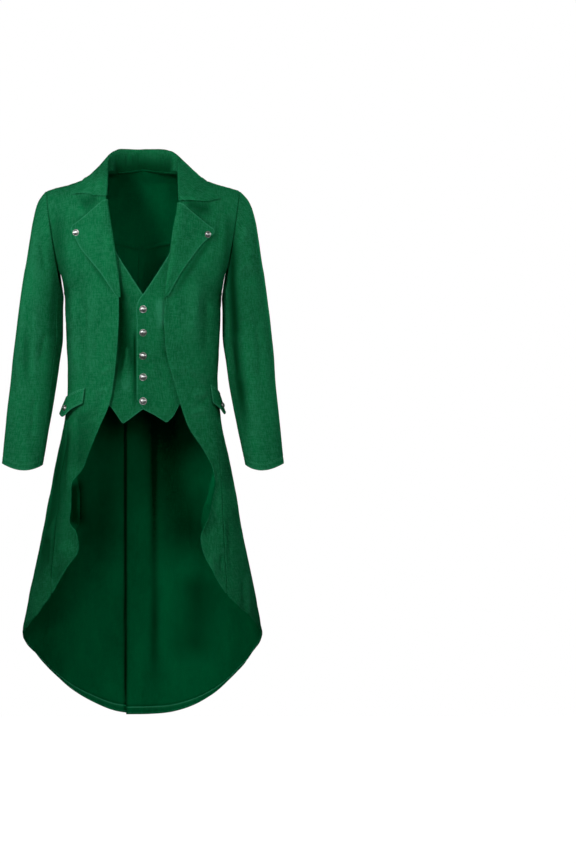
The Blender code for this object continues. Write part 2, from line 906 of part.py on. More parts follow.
def collar_half(own_end):
    """Rows of the collar from the centre back to its end, with the last stations that are this side's own."""
    names = ["neck", "fold", "fall", "end"]
    index = list(range(len(COLLAR["neck_x"])))
    stations = [i * 0.5 for i in range(2 * len(index) - 1)]
    shape = {key: list(values) for key, values in COLLAR.items()}
    for station, values in own_end.items():
        for key, value in zip(shape, values):
            shape[key][station] = value
    across = [0.0, 0.45, 0.85, 1.0, 1.15, 1.5, 2.0, 2.5, 3.0]
    rows = []
    for s in stations:
        profile = [Vector([smooth(index, shape[f"{name}_{axis}"], s) for axis in "xyz"]) for name in names]
        curves = [[p[i] for p in profile] for i in range(3)]
        rows.append([Vector([smooth([0, 1, 2, 3], curve, t) for curve in curves]) for t in across])
    return rows


def make_collar():
    right, left = collar_half({}), collar_half(COLLAR_LEFT_END)
    whole = [[Vector((-p.x, p.y, p.z)) for p in row] for row in reversed(right[1:])] + left
    grid = [list(column) for column in zip(*whole)]
    grid = grid[::-1]
    under = tree_of("yoke_back", "front_right", "front_left", "lapel_right", "lapel_left")
    fall = lifted(grid[:6], under, 3.2)
    return cloth("collar", fall + grid[6:])


def vest_depth(x, side):
    near = 7.4 if side["sign"] > 0 else 10.6
    return -lerp(near, 7.0, min(1.0, max(0.0, (x - 30) / 90)))


def make_vest(side):
    """A waistcoat front, hung from the shoulder and carried just inside the coat's front to the side."""
    edge, hem, seam, shares = side["vest_edge"], side["vest_hem"], side["seam"], side["vest_shares"]
    grid = []
    for number, (start_z, end_z) in enumerate(VEST_ROWS):
        if number == 0:
            start, end = place(96, NECK_Z - 12), place(165, -24)
        else:
            start_x = smooth(edge["z"], edge["x"], start_z)
            turn, fall = place(start_x, start_z)
            start = (turn if start_x > 0 else -turn, fall)
            if end_z > -250:
                end = place(plain(VEST_SIDE["z"], VEST_SIDE["x"], end_z), end_z)
            else:
                drawn_in = plain(VEST_DRAWN_IN["z"], VEST_DRAWN_IN["turn"], end_z)
                end = (plain(seam["z"], seam["turn"], end_z) - drawn_in, fall_at(end_z))
        grid.append([vest_point(lerp(start[0], end[0], t), lerp(start[1], end[1], t), side) for t in shares])
    first_turn = -place(-hem["x"][0], hem["z"][0])[0]
    last_turn = plain(seam["z"], seam["turn"], hem["z"][-1]) - VEST_DRAWN_IN["turn"][-1]
    lowest = []
    for t in shares:
        turn = lerp(first_turn, last_turn, t)
        x = body_point(abs(turn), fall_at(VEST_ROWS[-1][0])).x * (-1 if turn < 0 else 1)
        z = plain(hem["x"], hem["z"], x)
        lowest.append(vest_point(turn, fall_at(z), side))
    middle = [a.lerp(b, 0.5) for a, b in zip(grid[-1], lowest)]
    grid = mirrored(grid + [middle, lowest], side["sign"])
    front = tree_of("front_" + side["name"])
    grid[0][-1] = seated_inside(grid[0][-1], front, WALL / 2 + VEST_SEAT * 2)
    for row in grid[-6:]:
        row[-1] = seated_inside(row[-1], front, WALL / 2 + VEST_SEAT)
    return cloth("vest_" + side["name"], grid, "vest")


def seated_inside(p, tree, clear):
    """A point inside the coat moved straight out until it is this far from the cloth that carries it."""
    out = Vector((p.x, p.y, 0)).normalized()
    hit, _, _, _ = tree.ray_cast(p - out * 12, out, 30)
    return p if hit is None else hit - out * clear


def vest_point(turn, fall, side):
    p = off_body(abs(turn), fall, vest_depth(body_point(abs(turn), fall).x * (-1 if turn < 0 else 1), side))
    if turn < 0:
        p.x = -p.x
    return p


def make_flap(side):
    rows = side["flap"]
    grid = []
    for share in (0.0, 0.5, 1.0):
        line = []
        for turn, top_z, end_z, stand in zip(rows["turn"], rows["top_z"], rows["end_z"], rows["stand"]):
            fall = fall_at(lerp(top_z, end_z, share))
            line.append(off_body(turn, fall, lerp(3.2, stand, share**0.8)))
        grid.append(line)
    below = tree_of("front_" + side["name"], "back_" + side["name"])
    return cloth("flap_" + side["name"], lifted(mirrored(grid, side["sign"]), below, 2.7))


def on_back(x, z, out):
    turn, fall = place(x, z, back=True)
    p = off_body(turn, fall, out)
    return Vector((p.x if x >= 0 else -p.x, p.y, p.z))


def make_belt():
    half, deep = BELT["length"] / 2, BELT["width"] / 2
    grid = []
    for row in (-1, -0.45, 0.45, 1):
        line = []
        for k in range(13):
            share = -1 + k / 6
            end = half - (7.0 if abs(row) == 1 else 0.0)
            x = BELT["centre_x"] - share * end
            z = BELT["centre_z"] - row * deep - 5.0 * (1 - share * share) + 3.0
            line.append(on_back(x, z, 2.6))
        grid.append(line)
    below = tree_of("back_right", "back_left")
    return cloth("back_belt", lifted(grid, below, 2.5))


def sleeve_level(side, z, degrees):
    """The level at which the sleeve's line at this turn reaches a height."""
    low, high = 0.0, float(len(SLEEVE["outer_x"]))
    for _ in range(30):
        middle = (low + high) / 2
        if sleeve_point(side, middle, degrees).z > z:
            low = middle
        else:
            high = middle
    return low


def make_placket(side):
    turns = [lerp(PLACKET["first_turn"], PLACKET["last_turn"], k / 3) for k in range(4)]
    heights = [lerp(PLACKET["top"], PLACKET["bottom"], k / 4) for k in range(5)]
    grid = []
    for z in heights:
        line = []
        for degrees in turns:
            level = sleeve_level(side, z, degrees)
            p = sleeve_point(side, level, degrees)
            along = sleeve_point(side, level, degrees + 2) - sleeve_point(side, level, degrees - 2)
            out = Vector((along.y, -along.x, 0)).normalized()
            line.append(p + out * 3.0)
        grid.append(line)
    below = tree_of("sleeve_top_" + side["name"], "sleeve_under_" + side["name"])
    return cloth("cuff_placket_" + side["name"], lifted(mirrored(grid, side["sign"]), below, 3.2))


def make_button(name, panel, origin, direction, diameter):
    """A domed button seated just clear of the panel that a line from outside meets first."""
    tree = tree_of(panel)
    direction = Vector(direction).normalized()
    where, normal, _, _ = tree.ray_cast(Vector(origin), direction)
    if where is None:
        where, normal, _, _ = tree.find_nearest(Vector(origin))
    if normal.dot(direction) > 0:
        normal = -normal
    radius = diameter / 2
    profile = [(0.86, 0.0), (1.0, 0.18), (0.93, 0.42), (0.55, 0.6)]
    up = Vector((0, 0, 1))
    side = normal.cross(up).normalized()
    other = normal.cross(side).normalized()
    start = where + normal * seat_for(tree, where, normal, side, other, radius * 0.86)
    points = [start]
    for reach, high in profile:
        for k in range(BUTTON_SIDES):
            angle = 2 * math.pi * k / BUTTON_SIDES
            spoke = side * math.cos(angle) + other * math.sin(angle)
            points.append(start + spoke * reach * radius + normal * high * radius * 0.9)
    points.append(start + normal * radius * 0.62)
    n = BUTTON_SIDES
    faces = []
    for k in range(n):
        following = (k + 1) % n
        faces.append((0, 1 + k, 1 + following))
        for ring in range(len(profile) - 1):
            a, b = 1 + ring * n + k, 1 + ring * n + following
            faces += [(a, b + n, b), (a, a + n, b + n)]
        last = 1 + (len(profile) - 1) * n
        faces.append((len(points) - 1, last + k, last + following))
    return add_object(name, points, faces, "button", 0.35, 0.9)


def seat_for(tree, where, normal, side, other, reach):
    """How far off the panel a flat disc has to sit so that it clears the panel by SEAT all round."""
    most = 0.0
    for k in range(12):
        angle = 2 * math.pi * k / 12
        rim = where + (side * math.cos(angle) + other * math.sin(angle)) * reach
        hit, _, _, _ = tree.ray_cast(rim + normal * 8, -normal)
        if hit is not None:
            most = max(most, (hit - where).dot(normal))
    return most + SEAT


def make_buttons():
    for number, z in enumerate(VEST_BUTTON_Z, 1):
        make_button(f"button_vest_{number}", "vest_left", (0.5, -300, z), (0, 1, 0), BUTTON["vest"])
    for side in (RIGHT, LEFT):
        name, sign = side["name"], side["sign"]
        x, z = side["lapel_button"]
        make_button(f"button_lapel_{name}", "lapel_" + name, (sign * x, -300, z), (0, 1, 0), BUTTON["lapel"])
        spot, out = flap_spot(side)
        make_button(f"button_flap_{name}", "flap_" + name, spot + out * 60, -out, BUTTON["flap"])
        for number, z in enumerate(CUFF_BUTTON_Z, 1):
            degrees = PLACKET["button_turn"]
            p = sleeve_point(side, sleeve_level(side, z, degrees), degrees)
            start = Vector((sign * p.x, p.y + 80, p.z))
            panel = "cuff_placket_" + name
            make_button(f"button_cuff_{name}_{number}", panel, start, (0, -1, 0), BUTTON["cuff"])
    for name, x in zip(("right", "left"), BELT["button_x"]):
        start = (x, 300, BELT["centre_z"])
        make_button(f"button_belt_{name}", "back_belt", start, (0, -1, 0), BUTTON["belt"])


def flap_spot(side):
    rows = side["flap"]
    turn = rows["turn"][2]
    z = lerp(rows["top_z"][2], rows["end_z"][2], FLAP_BUTTON_DOWN)
    p = off_body(turn, fall_at(z), 12)
    out = body_normal(turn, fall_at(z))
    return Vector((side["sign"] * p.x, p.y, p.z)), Vector((side["sign"] * out.x, out.y, 0)).normalized()


def main():
    clear_scene()
    for side in (RIGHT, LEFT):
        make_front(side)
        make_back(side)
        make_sleeve(side)
        make_vest(side)
    make_yoke()
    for side in (RIGHT, LEFT):
        make_lapel(side)
        make_flap(side)
        make_placket(side)
    make_collar()
    make_belt()
    make_buttons()


main()
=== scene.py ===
import math
from itertools import combinations

import bmesh
import bpy
import numpy as np
from mathutils import Matrix, Vector, noise
from mathutils.bvhtree import BVHTree


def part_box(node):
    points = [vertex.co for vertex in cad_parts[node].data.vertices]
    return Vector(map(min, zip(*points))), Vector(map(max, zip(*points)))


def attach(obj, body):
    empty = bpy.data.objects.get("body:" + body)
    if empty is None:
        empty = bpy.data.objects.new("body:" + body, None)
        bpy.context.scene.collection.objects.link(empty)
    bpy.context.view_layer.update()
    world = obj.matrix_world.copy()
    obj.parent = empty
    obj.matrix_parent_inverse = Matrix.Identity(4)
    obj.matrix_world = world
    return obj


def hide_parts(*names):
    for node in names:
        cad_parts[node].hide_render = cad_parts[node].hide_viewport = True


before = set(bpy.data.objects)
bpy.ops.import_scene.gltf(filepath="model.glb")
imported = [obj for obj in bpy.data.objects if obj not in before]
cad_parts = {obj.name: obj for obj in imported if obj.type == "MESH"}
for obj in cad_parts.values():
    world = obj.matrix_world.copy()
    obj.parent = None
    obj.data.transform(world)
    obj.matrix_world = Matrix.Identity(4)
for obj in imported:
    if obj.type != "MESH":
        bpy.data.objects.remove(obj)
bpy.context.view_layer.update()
print("stage: frame loaded")

# Sheets are worked out in millimetres and turned into metres when their mesh is made
mm = 0.001
cadWall = 2.0
wallSlack = 0.003
weldGap = 0.02

clothSizes = {"wall": 1.5, "doubleWall": 1.9, "turnUp": 0.8, "step": 4.6, "fineStep": 2.8}

# How a border of a sheet is sewn: the distances of its closest rows, and what happens there
borders = {
    "plain": {"rows": [0.0]},
    "seam": {"rows": [0.0, 1.1, 2.4, 4.2], "dip": 1.1},
    "lap": {"rows": [0.0, 1.1, 2.4, 4.2], "dip": 1.1, "allowance": 9.0},
    "armhole": {"rows": [0.0, 1.1, 2.4, 4.2], "dip": 1.1, "allowance": 9.0, "deep": 0.9},
    "backSide": {"rows": [0.0, 1.1, 2.4, 4.2], "dip": 1.1, "allowance": 9.0, "above": -232.0},
    "yokeSide": {"rows": [0.0, 1.1, 2.4, 4.2], "dip": 1.1, "allowance": 9.0, "below": -76.0},
    "neckSeam": {"rows": [0.0, 1.1, 2.4, 4.2], "dip": 0.0, "allowance": 6.5, "deep": -0.15},
    "edge": {"rows": [0.0, 0.8, 1.8, 3.6], "roll": 0.55},
    "stitched": {"rows": [0.0, 0.8, 1.8, 3.2, 4.2, 5.2, 6.6], "roll": 0.3, "stitch": [4.2]},
    "hem": {
        "rows": [0.0, 0.8, 1.8, 5.0, 9.5, 13.5, 15.0, 16.2, 17.4, 18.4, 20.0],
        "roll": 0.25,
        "stitch": [16.2],
        "inside": [4.0, 16.2],
        "turnUp": 18.0,
    },
    "facing": {"rows": [0.0, 0.8, 1.8, 3.6], "roll": 0.4, "turnUp": 52.0},
    "sideSeam": {"rows": [0.0, 1.1, 2.4, 4.2], "dip": 1.1, "allowance": 9.0, "below": -262.0},
    "vent": {
        "rows": [0.0, 0.8, 1.8, 3.2, 4.2, 5.2],
        "roll": 0.4,
        "dip": 1.4,
        "seamAbove": -556.0,
        "turnUp": 30.0,
        "lift": 2.4,
    },
    "underlap": {"rows": [0.0, 0.8, 1.8, 3.6], "roll": 0.2, "turnUp": 14.0},
}

stitching = {"length": 2.7, "pitch": 3.4, "width": 0.36, "height": 0.42}


def seenFrom(side, rows):
    # Strokes placed from one side, in millimetres: a width, a height and the line's points.
    # The points are x and z, or y and z from the side. A height below zero is a trough.
    return [{"seen": side, "line": points, "width": width, "height": height}
            for width, height, *points in rows]


# Creases of all that goes round the body
bodyCreases = seenFrom("front", [
    (10, -1.5, (-141, -205), (-134, -330)),
    (8, 1.5, (-152, -232), (-146, -430)),
    (7, -1.4, (-127, -270), (-129, -415)),
    (8, 1.3, (-113, -250), (-115, -420)),
    (6, -0.9, (-98, -300), (-101, -400)),
    (3.6, -1.7, (-88, -412), (-66, -400)),
    (3.6, 1.4, (-90, -421), (-66, -410)),
    (3.6, -1.5, (-95, -455), (-75, -446)),
    (3.6, 1.1, (-98, -464), (-78, -455)),
    (5, -2.1, (-139, -524), (-97, -505)),
    (6, 1.7, (-132, -541), (-95, -521)),
    (8, 3.0, (-150, -524), (-163, -690)),
    (8, -3.0, (-166, -540), (-178, -705)),
    (6, -2.6, (-187, -668), (-189, -736)),
    (7, -2.8, (-206, -780), (-214, -850)),
    (7, 1.8, (-199, -735), (-204, -900)),
    (9, 1.8, (-183, -812), (-150, -800)),
    (2.4, -1.7, (-199, -660), (-203, -780), (-204, -930)),
    (3, -1.6, (-171, -560), (-178, -650)),
    (2.4, -1.7, (188, -730), (190, -900)),
    (4, -1.6, (212, -640), (216, -760)),
    (7, -2.0, (-194, -872), (-178, -842)),
    (6, 1.8, (-222, -938), (-198, -916)),
    (4.5, -2.6, (88, -418), (104, -432), (132, -456)),
    (5, 1.9, (92, -408), (110, -420), (140, -444)),
    (5, -3.0, (112, -494), (142, -478)),
    (6, 2.4, (106, -470), (142, -466)),
    (6, 1.5, (104, -512), (138, -500)),
    (9, -1.2, (62, -240), (58, -330)),
    (12, 1.4, (118, -230), (112, -350)),
    (9, -1.2, (140, -250), (138, -400)),
    (8, 2.2, (146, -822), (160, -862)),
    (6, -2.0, (173, -815), (171, -856)),
    (5, -2.4, (218, -872), (221, -958)),
    (6, 2.0, (229, -860), (233, -960)),
    (9, 1.6, (196, -560), (214, -720)),
    (7, -1.0, (-150, -60), (-146, -150)),
    (7, -1.3, (-172, -62), (-166, -170)),
    (8, -1.3, (172, -70), (160, -160)),
    (7, -1.6, (-186, -200), (-170, -262)),
    (7, -1.6, (186, -190), (168, -258)),
]) + seenFrom("back", [
    (4.5, -1.9, (169, -193), (108, -187)),
    (5, 1.3, (166, -182), (112, -176)),
    (4.5, -2.0, (161, -262), (103, -255)),
    (5.5, 1.8, (160, -273), (106, -268)),
    (9, -1.3, (77, -190), (78, -355)),
    (9, 1.0, (58, -220), (52, -350)),
    (8, 1.3, (33, -190), (36, -330)),
    (7, -1.3, (13, -200), (12, -350)),
    (8, -1.2, (-40, -240), (-45, -355)),
    (12, 1.2, (-88, -160), (-96, -330)),
    (9, -1.2, (-128, -230), (-118, -330)),
    (5.5, -2.6, (95, -408), (82, -440)),
    (7, 2.4, (104, -402), (88, -446), (80, -480)),
    (5, -1.8, (-68, -396), (-99, -406)),
    (5, -2.1, (-84, -452), (-121, -430)),
    (6, 2.0, (-84, -470), (-118, -456)),
    (9, 1.1, (-20, -410), (-26, -500)),
    (6, -1.6, (150, -555), (141, -590)),
    (9, 2.4, (-169, -715), (-154, -822)),
    (8, -2.0, (-150, -780), (-142, -826)),
    (7, -1.8, (-8, -850), (-13, -905)),
    (7, 1.9, (-23, -850), (-24, -910)),
    (9, 2.6, (40, -870), (34, -1000), (38, -1110)),
    (9, -2.0, (19, -900), (14, -1090)),
    (9, 2.0, (-60, -915), (-44, -1000)),
    (16, -2.2, (120, -640), (128, -900)),
    (15, 2.0, (86, -700), (92, -1040)),
    (15, -2.0, (-104, -650), (-112, -980)),
    (12, 2.0, (170, -560), (196, -900)),
    (12, -1.8, (-188, -600), (-214, -930)),
])

sleeveCreases = seenFrom("front", [
    (8, -2.1, (-246, -240), (-256, -440)),
    (7, 1.5, (-262, -260), (-268, -470)),
    (7, 1.4, (-232, -250), (-240, -430)),
    (7, -2.2, (-224, -140), (-212, -200)),
    (7, 1.7, (-236, -120), (-228, -220)),
    (6, -1.8, (-212, -330), (-226, -400)),
    (6, -1.3, (-282, -400), (-288, -560)),
    (6, -1.4, (-236, -470), (-244, -580)),
    (5, 2.0, (208, -204), (226, -189), (239, -196)),
    (5, -2.3, (211, -220), (240, -212)),
    (6, -2.8, (202, -132), (220, -104)),
    (6, 1.7, (222, -100), (224, -134)),
    (6, -2.2, (192, -350), (202, -430)),
    (7, 1.6, (208, -330), (220, -440)),
    (8, -1.3, (248, -280), (262, -460)),
    (7, 1.6, (232, -470), (246, -560)),
    (6, -1.6, (212, -300), (240, -318)),
]) + seenFrom("back", [
    (7, -4.0, (235, -136), (216, -189), (213, -242), (216, -275)),
    (7, 2.8, (240, -170), (229, -200), (225, -270)),
    (6, 1.8, (204, -200), (200, -290)),
    (6, -2.8, (191, -366), (208, -404)),
    (6, -2.4, (206, -460), (214, -492)),
    (7, 1.8, (222, -380), (232, -480)),
    (8, -1.5, (262, -300), (272, -460)),
    (4.5, -3.0, (-206, -69), (-229, -69)),
    (5, 1.9, (-206, -79), (-230, -80)),
    (6, -1.9, (-213, -272), (-220, -304)),
    (6, 1.6, (-224, -260), (-232, -320)),
    (5.5, -2.3, (-196, -400), (-216, -424), (-232, -434)),
    (6, 1.8, (-200, -414), (-222, -440)),
    (6, -2.1, (-252, -462), (-262, -428)),
    (7, 1.0, (-262, -478), (-272, -436)),
    (9, -1.4, (-252, -160), (-262, -280)),
]) + seenFrom("side", [
    (10, -1.2, (-10, -70), (-14, -200)),
])

vestCreases = seenFrom("front", [
    (2.6, -1.5, (18, -433), (32, -470), (45, -508)),
    (7, -1.0, (-20, -270), (-27, -330), (-24, -410)),
    (9, -3.2, (-38, -240), (-43, -330), (-50, -420)),
    (7, 1.4, (-33, -350), (-38, -470)),
    (8, 1.0, (35, -260), (44, -330)),
    (7, -2.0, (50, -300), (58, -400)),
    (5, -0.8, (6, -408), (30, -396)),
])

# How much deeper creases are made than their tables say, how steep at most, and how narrow at least
creaseDepth = 3.0
creaseSlope = 0.55
finestCrease = 4.4

# Painted shade: strokes that deepen the cloth's colour where another piece lies over it or close to it, and
# low on the back
bodyShades = seenFrom("front", [
    (14, -0.55, (-98, -38), (-138, -60)),
    (4, -0.5, (-94, -58), (-152, -100)),
    (4, -0.5, (-157, -112), (-62, -256)),
    (14, -0.75, (92, -50), (126, -66), (154, -60)),
    (4, -0.5, (98, -68), (154, -106)),
    (6, -0.55, (157, -114), (62, -260)),
    (12, -0.5, (-186, -60), (-178, -220), (-158, -330)),
    (10, -0.45, (186, -60), (178, -220), (160, -330)),
    (24, -0.75, (-172, -500), (-196, -680), (-232, -900)),
    (26, -0.35, (-120, -500), (-136, -640)),
    (40, -0.3, (-140, -470), (-190, -980)),
    (18, -0.4, (190, -500), (226, -800)),
]) + seenFrom("back", [
    (12, -0.5, (-186, -80), (-172, -220), (-158, -330)),
    (12, -0.45, (186, -80), (172, -220), (158, -330)),
    (5, -0.8, (-72, -404), (0, -410), (72, -404)),
    (120, -0.15, (-190, -820), (0, -1100), (190, -820)),
    (3.5, -0.8, (4, -557), (-40, -565)),
    (9, -0.5, (-8, -560), (-9, -1150)),
])

# Painted shade on the coat's inner face
insideShades = seenFrom("front", [
    (70, -1.1, (-110, -455), (110, -455)),
    (58, -0.95, (40, -480), (60, -640), (110, -860)),
    (44, -0.5, (-60, -480), (-70, -640), (-110, -860)),
    (40, -0.6, (124, -860), (112, -1080)),
    (3.0, -1.5, (-39, -440), (-39, -800), (-39, -1300)),
    (8, -0.6, (24, -500), (26, -1160)),
    (17, -1.1, (-148, -650), (-150, -700), (-150, -770)),
])

# Painted shade on the sleeves
sleeveShades = seenFrom("front", [
    (6, -0.3, (-196, -70), (-194, -220), (-204, -380)),
    (9, -0.3, (-256, -330), (-258, -460)),
    (11, -1.0, (196, -70), (196, -220), (206, -380), (228, -590)),
]) + seenFrom("back", [
    (9, -0.7, (-196, -80), (-196, -220), (-206, -380), (-228, -590)),
    (7, -0.4, (196, -80), (194, -220), (204, -380)),
])

# Painted shade on the waistcoat, where the coat's fronts and its own closing edge shade it
vestShades = seenFrom("front", [
    (19, -1.1, (-62, -205), (-46, -290), (-40, -400), (-60, -470)),
    (6, -0.7, (56, -230), (54, -300), (62, -380)),
    (3.0, -0.9, (-17, -318), (-18, -505)),
])

# Soft unevenness of the whole cloth, in millimetres
unevenness = [
    {"across": 62, "down": 150, "height": 2.0},
    {"across": 27, "down": 52, "height": 1.1},
    {"across": 12, "down": 20, "height": 0.45},
]


def softStep(value):
    value = np.clip(value, 0.0, 1.0)
    return value * value * (3 - 2 * value)


# Reading a panel back from its CAD node

def skinRows(triangles):
    # A panel's skin is a net of four-sided cells cut in two; this finds its rows and columns again
    across = {}
    for a, b, c in triangles:
        across[(a, b)], across[(b, c)], across[(c, a)] = c, a, b
    following = {a: b for a, b in across if (b, a) not in across}
    start = next(iter(following))
    loop = [start]
    while following[loop[-1]] != start:
        loop.append(following[loop[-1]])
    count = len({v for triangle in triangles for v in triangle})
    total = len(loop) // 2 + 2
    gap = round(math.sqrt(total * total - 4 * count))
    for rows, columns in (((total - gap) // 2, (total + gap) // 2), ((total + gap) // 2, (total - gap) // 2)):
        for first in range(len(loop)):
            found = fillRows(across, loop[first:] + loop[:first], rows, columns)
            if found is not None:
                return found
    raise ValueError("this node is not a net of rows")


def fillRows(across, loop, rows, columns):
    net = np.full((rows, columns), -1)
    net[0] = loop[:columns]
    net[:, -1] = loop[columns - 1:columns - 1 + rows]
    net[-1, ::-1] = loop[columns + rows - 2:2 * columns + rows - 2]
    net[1:, 0] = (loop[2 * columns + rows - 3:] + loop[:1])[:rows - 1][::-1]
    for i in range(rows - 1):
        for j in range(columns - 1):
            a, b, c = net[i, j], net[i, j + 1], net[i + 1, j]
            third = across.get((a, b))
            last = across.get((c, b)) if third == c else third
            if last is None or (net[i + 1, j + 1] not in (-1, last)):
                return None
            net[i + 1, j + 1] = last
    return net


def panelGrid(node, firstCorner, lastCorner):
    # The middle of the node's wall, with the row that runs from firstCorner to lastCorner on top
    work = bmesh.new()
    work.from_mesh(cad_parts[node].data)
    bmesh.ops.remove_doubles(work, verts=work.verts, dist=weldGap * mm)
    work.verts.index_update()
    points = np.array([v.co[:] for v in work.verts]) / mm
    pairs = {frozenset((e.verts[0].index, e.verts[1].index)) for e in work.edges
             if abs(e.calc_length() / mm - cadWall) < wallSlack}
    skins = [[v.index for v in f.verts] for f in work.faces
             if not any(frozenset((a.index, b.index)) in pairs for a, b in combinations(f.verts, 2))]
    work.free()
    group = {}
    for triangle in skins:
        merged = set(triangle).union(*[group.get(v, {v}) for v in triangle])
        for v in merged:
            group[v] = merged
    near = group[skins[0][0]]
    net = skinRows([t for t in skins if t[0] in near])
    others = np.array(sorted({v for t in skins for v in t} - near))
    away = np.linalg.norm(points[net][:, :, None, :] - points[others][None, None, :, :], axis=3)
    partner = others[np.abs(away - cadWall).argmin(axis=2)]
    grid = (points[net] + points[partner]) / 2
    turned = [grid, grid[::-1], grid[:, ::-1], grid[::-1, ::-1]]
    turned += [g.transpose(1, 0, 2) for g in turned]
    return min(turned, key=lambda g: (np.linalg.norm(g[0, 0] - firstCorner)
                                      + np.linalg.norm(g[0, -1] - lastCorner)))


def lineAt(points, stations, corners=()):
    # A soft curve through the points, read at these distances along it; it may turn sharply at the corners
    steps = np.maximum(np.linalg.norm(np.diff(points, axis=0), axis=1), 1e-6)
    along = np.concatenate([[0.0], np.cumsum(steps)])
    slopes = np.diff(points, axis=0) / steps[:, None]
    leave, arrive = slopes.copy(), slopes.copy()
    for k in range(1, len(points) - 1):
        if k not in corners:
            both = (slopes[k - 1] * steps[k] + slopes[k] * steps[k - 1]) / (steps[k - 1] + steps[k])
            leave[k], arrive[k - 1] = both, both
    k = np.clip(np.searchsorted(along, stations, side="right") - 1, 0, len(steps) - 1)
    t = ((stations - along[k]) / steps[k])[:, None]
    span = steps[k][:, None]
    return (points[k] * (1 + 2 * t) * (1 - t) ** 2 + leave[k] * span * t * (1 - t) ** 2
            + points[k + 1] * t * t * (3 - 2 * t) + arrive[k] * span * t * t * (t - 1))


def stationsFor(length, near, far, count):
    # Fixed distances by both ends, and even ones between them
    near, far = np.array(near), np.array(far)
    room = near[-1] + far[-1]
    squeeze = min(1.0, 0.7 * length / max(room, 1e-6))
    near, far = near * squeeze, far * squeeze
    middle = np.linspace(near[-1], length - far[-1], count + 2)[1:-1]
    return np.concatenate([near, middle, length - far[::-1]])


def resample(grid, near, far, step, corners=(), straight=()):
    # New columns for each row of the grid
    lengths = np.linalg.norm(np.diff(grid, axis=1), axis=2).sum(axis=1)
    count = max(3, round((np.percentile(lengths, 80) - near[-1] - far[-1]) / step))
    lines = []
    for i, row in enumerate(grid):
        sharp = range(1, len(row) - 1) if i - len(grid) in straight else corners
        lines.append(lineAt(row, stationsFor(lengths[i], near, far, count), sharp))
    return np.array(lines)


def normalsOf(grid, facing):
    along, down = np.gradient(grid, axis=1), np.gradient(grid, axis=0)
    normals = np.cross(along, down)
    normals /= np.maximum(np.linalg.norm(normals, axis=2, keepdims=True), 1e-9)
    flip = 1.0
    if np.dot(normals[len(grid) // 4, grid.shape[1] // 2], facing) < 0:
        flip = -1.0
    return normals * flip, flip


def distancesFrom(grid, axis):
    # How far each point is from the first line, and from the last, measured over the cloth
    steps = np.linalg.norm(np.diff(grid, axis=axis), axis=2)
    zero = np.zeros_like(np.take(steps, [0], axis=axis))
    first = np.concatenate([zero, np.cumsum(steps, axis=axis)], axis=axis)
    return first, np.take(first, [-1], axis=axis) - first


# Relief of the cloth: creases, unevenness, seams and hems

def strokes(grid, normals, creases, steepest=None):
    # Soft strokes laid on the cloth; as folds they are made no steeper than this share of their width
    total = np.zeros(grid.shape[:2])
    for crease in creases:
        seen = crease["seen"]
        flat = grid[:, :, [1, 2]] if seen == "side" else grid[:, :, [0, 2]]
        facing = {"front": -normals[:, :, 1], "back": normals[:, :, 1], "side": np.abs(normals[:, :, 0])}
        line = np.array(crease["line"], float)
        nearest = np.full(grid.shape[:2], 1e9)
        share = np.zeros(grid.shape[:2])
        lengths = np.linalg.norm(np.diff(line, axis=0), axis=1)
        before = np.concatenate([[0.0], np.cumsum(lengths)])
        for k, length in enumerate(lengths):
            direction = (line[k + 1] - line[k]) / length
            reach = np.clip((flat - line[k]) @ direction, 0.0, length)
            gap = np.linalg.norm(flat - line[k] - reach[..., None] * direction, axis=2)
            closer = gap < nearest
            nearest = np.where(closer, gap, nearest)
            share = np.where(closer, (before[k] + reach) / before[-1], share)
        ends = softStep(share / 0.22 + 0.12) * softStep((1 - share) / 0.3 + 0.1)
        across = max(crease["width"], finestCrease) if steepest else crease["width"]
        widened = across * (0.85 + 0.45 * share)
        profile = np.exp(-((nearest / widened) ** 2))
        height = crease["height"]
        if steepest:
            most = steepest * across
            height = max(-most, min(most, creaseDepth * height))
        total += height * profile * ends * softStep(facing[seen] * 2.2)
    return total


def wobble(grid):
    # The same soft unevenness wherever two sheets meet, because it depends on the place alone
    total = np.zeros(grid.shape[:2])
    flat = grid.reshape(-1, 3)
    for layer in unevenness:
        scale = np.array([1 / layer["across"], 1 / layer["across"], 1 / layer["down"]])
        values = [noise.noise(Vector(p)) for p in flat * scale]
        total += np.array(values).reshape(total.shape) * layer["height"]
    return total


def borderRelief(kind, distance, heights):
    total = np.zeros_like(distance)
    style = borders[kind]
    seamed = softStep((heights - style["seamAbove"]) / 8 + 0.5) if "seamAbove" in style else 1.0
    if "dip" in style:
        total -= seamed * style["dip"] * np.clip(1 - distance / 3.4, 0, 1) ** 2
    if "roll" in style:
        total += style["roll"] * np.exp(-(((distance - 1.4) / 1.3) ** 2))
    if "lift" in style:
        opened = softStep((style["seamAbove"] - heights) / 160)
        total += opened * style["lift"] * np.clip(1 - distance / 26, 0, 1) ** 2
    for away in style.get("stitch", []):
        total -= 0.55 * np.exp(-(((distance - away) / 1.1) ** 2))
        total += 0.16 * np.exp(-(((distance - away * 0.5) / (away * 0.4)) ** 2))
    return total


def puckers(grid, kind, distance):
    # Small gathers that the thread pulls up along a row of stitches
    style = borders[kind]
    if not style.get("stitch") and "dip" not in style:
        return 0.0
    away = style["stitch"][0] if style.get("stitch") else 2.0
    values = np.array([noise.noise(Vector(p) / 7.0) for p in grid.reshape(-1, 3)]).reshape(distance.shape)
    return 0.42 * values * np.exp(-(((distance - away) / 7.0) ** 2))


# Making the mesh of a sheet

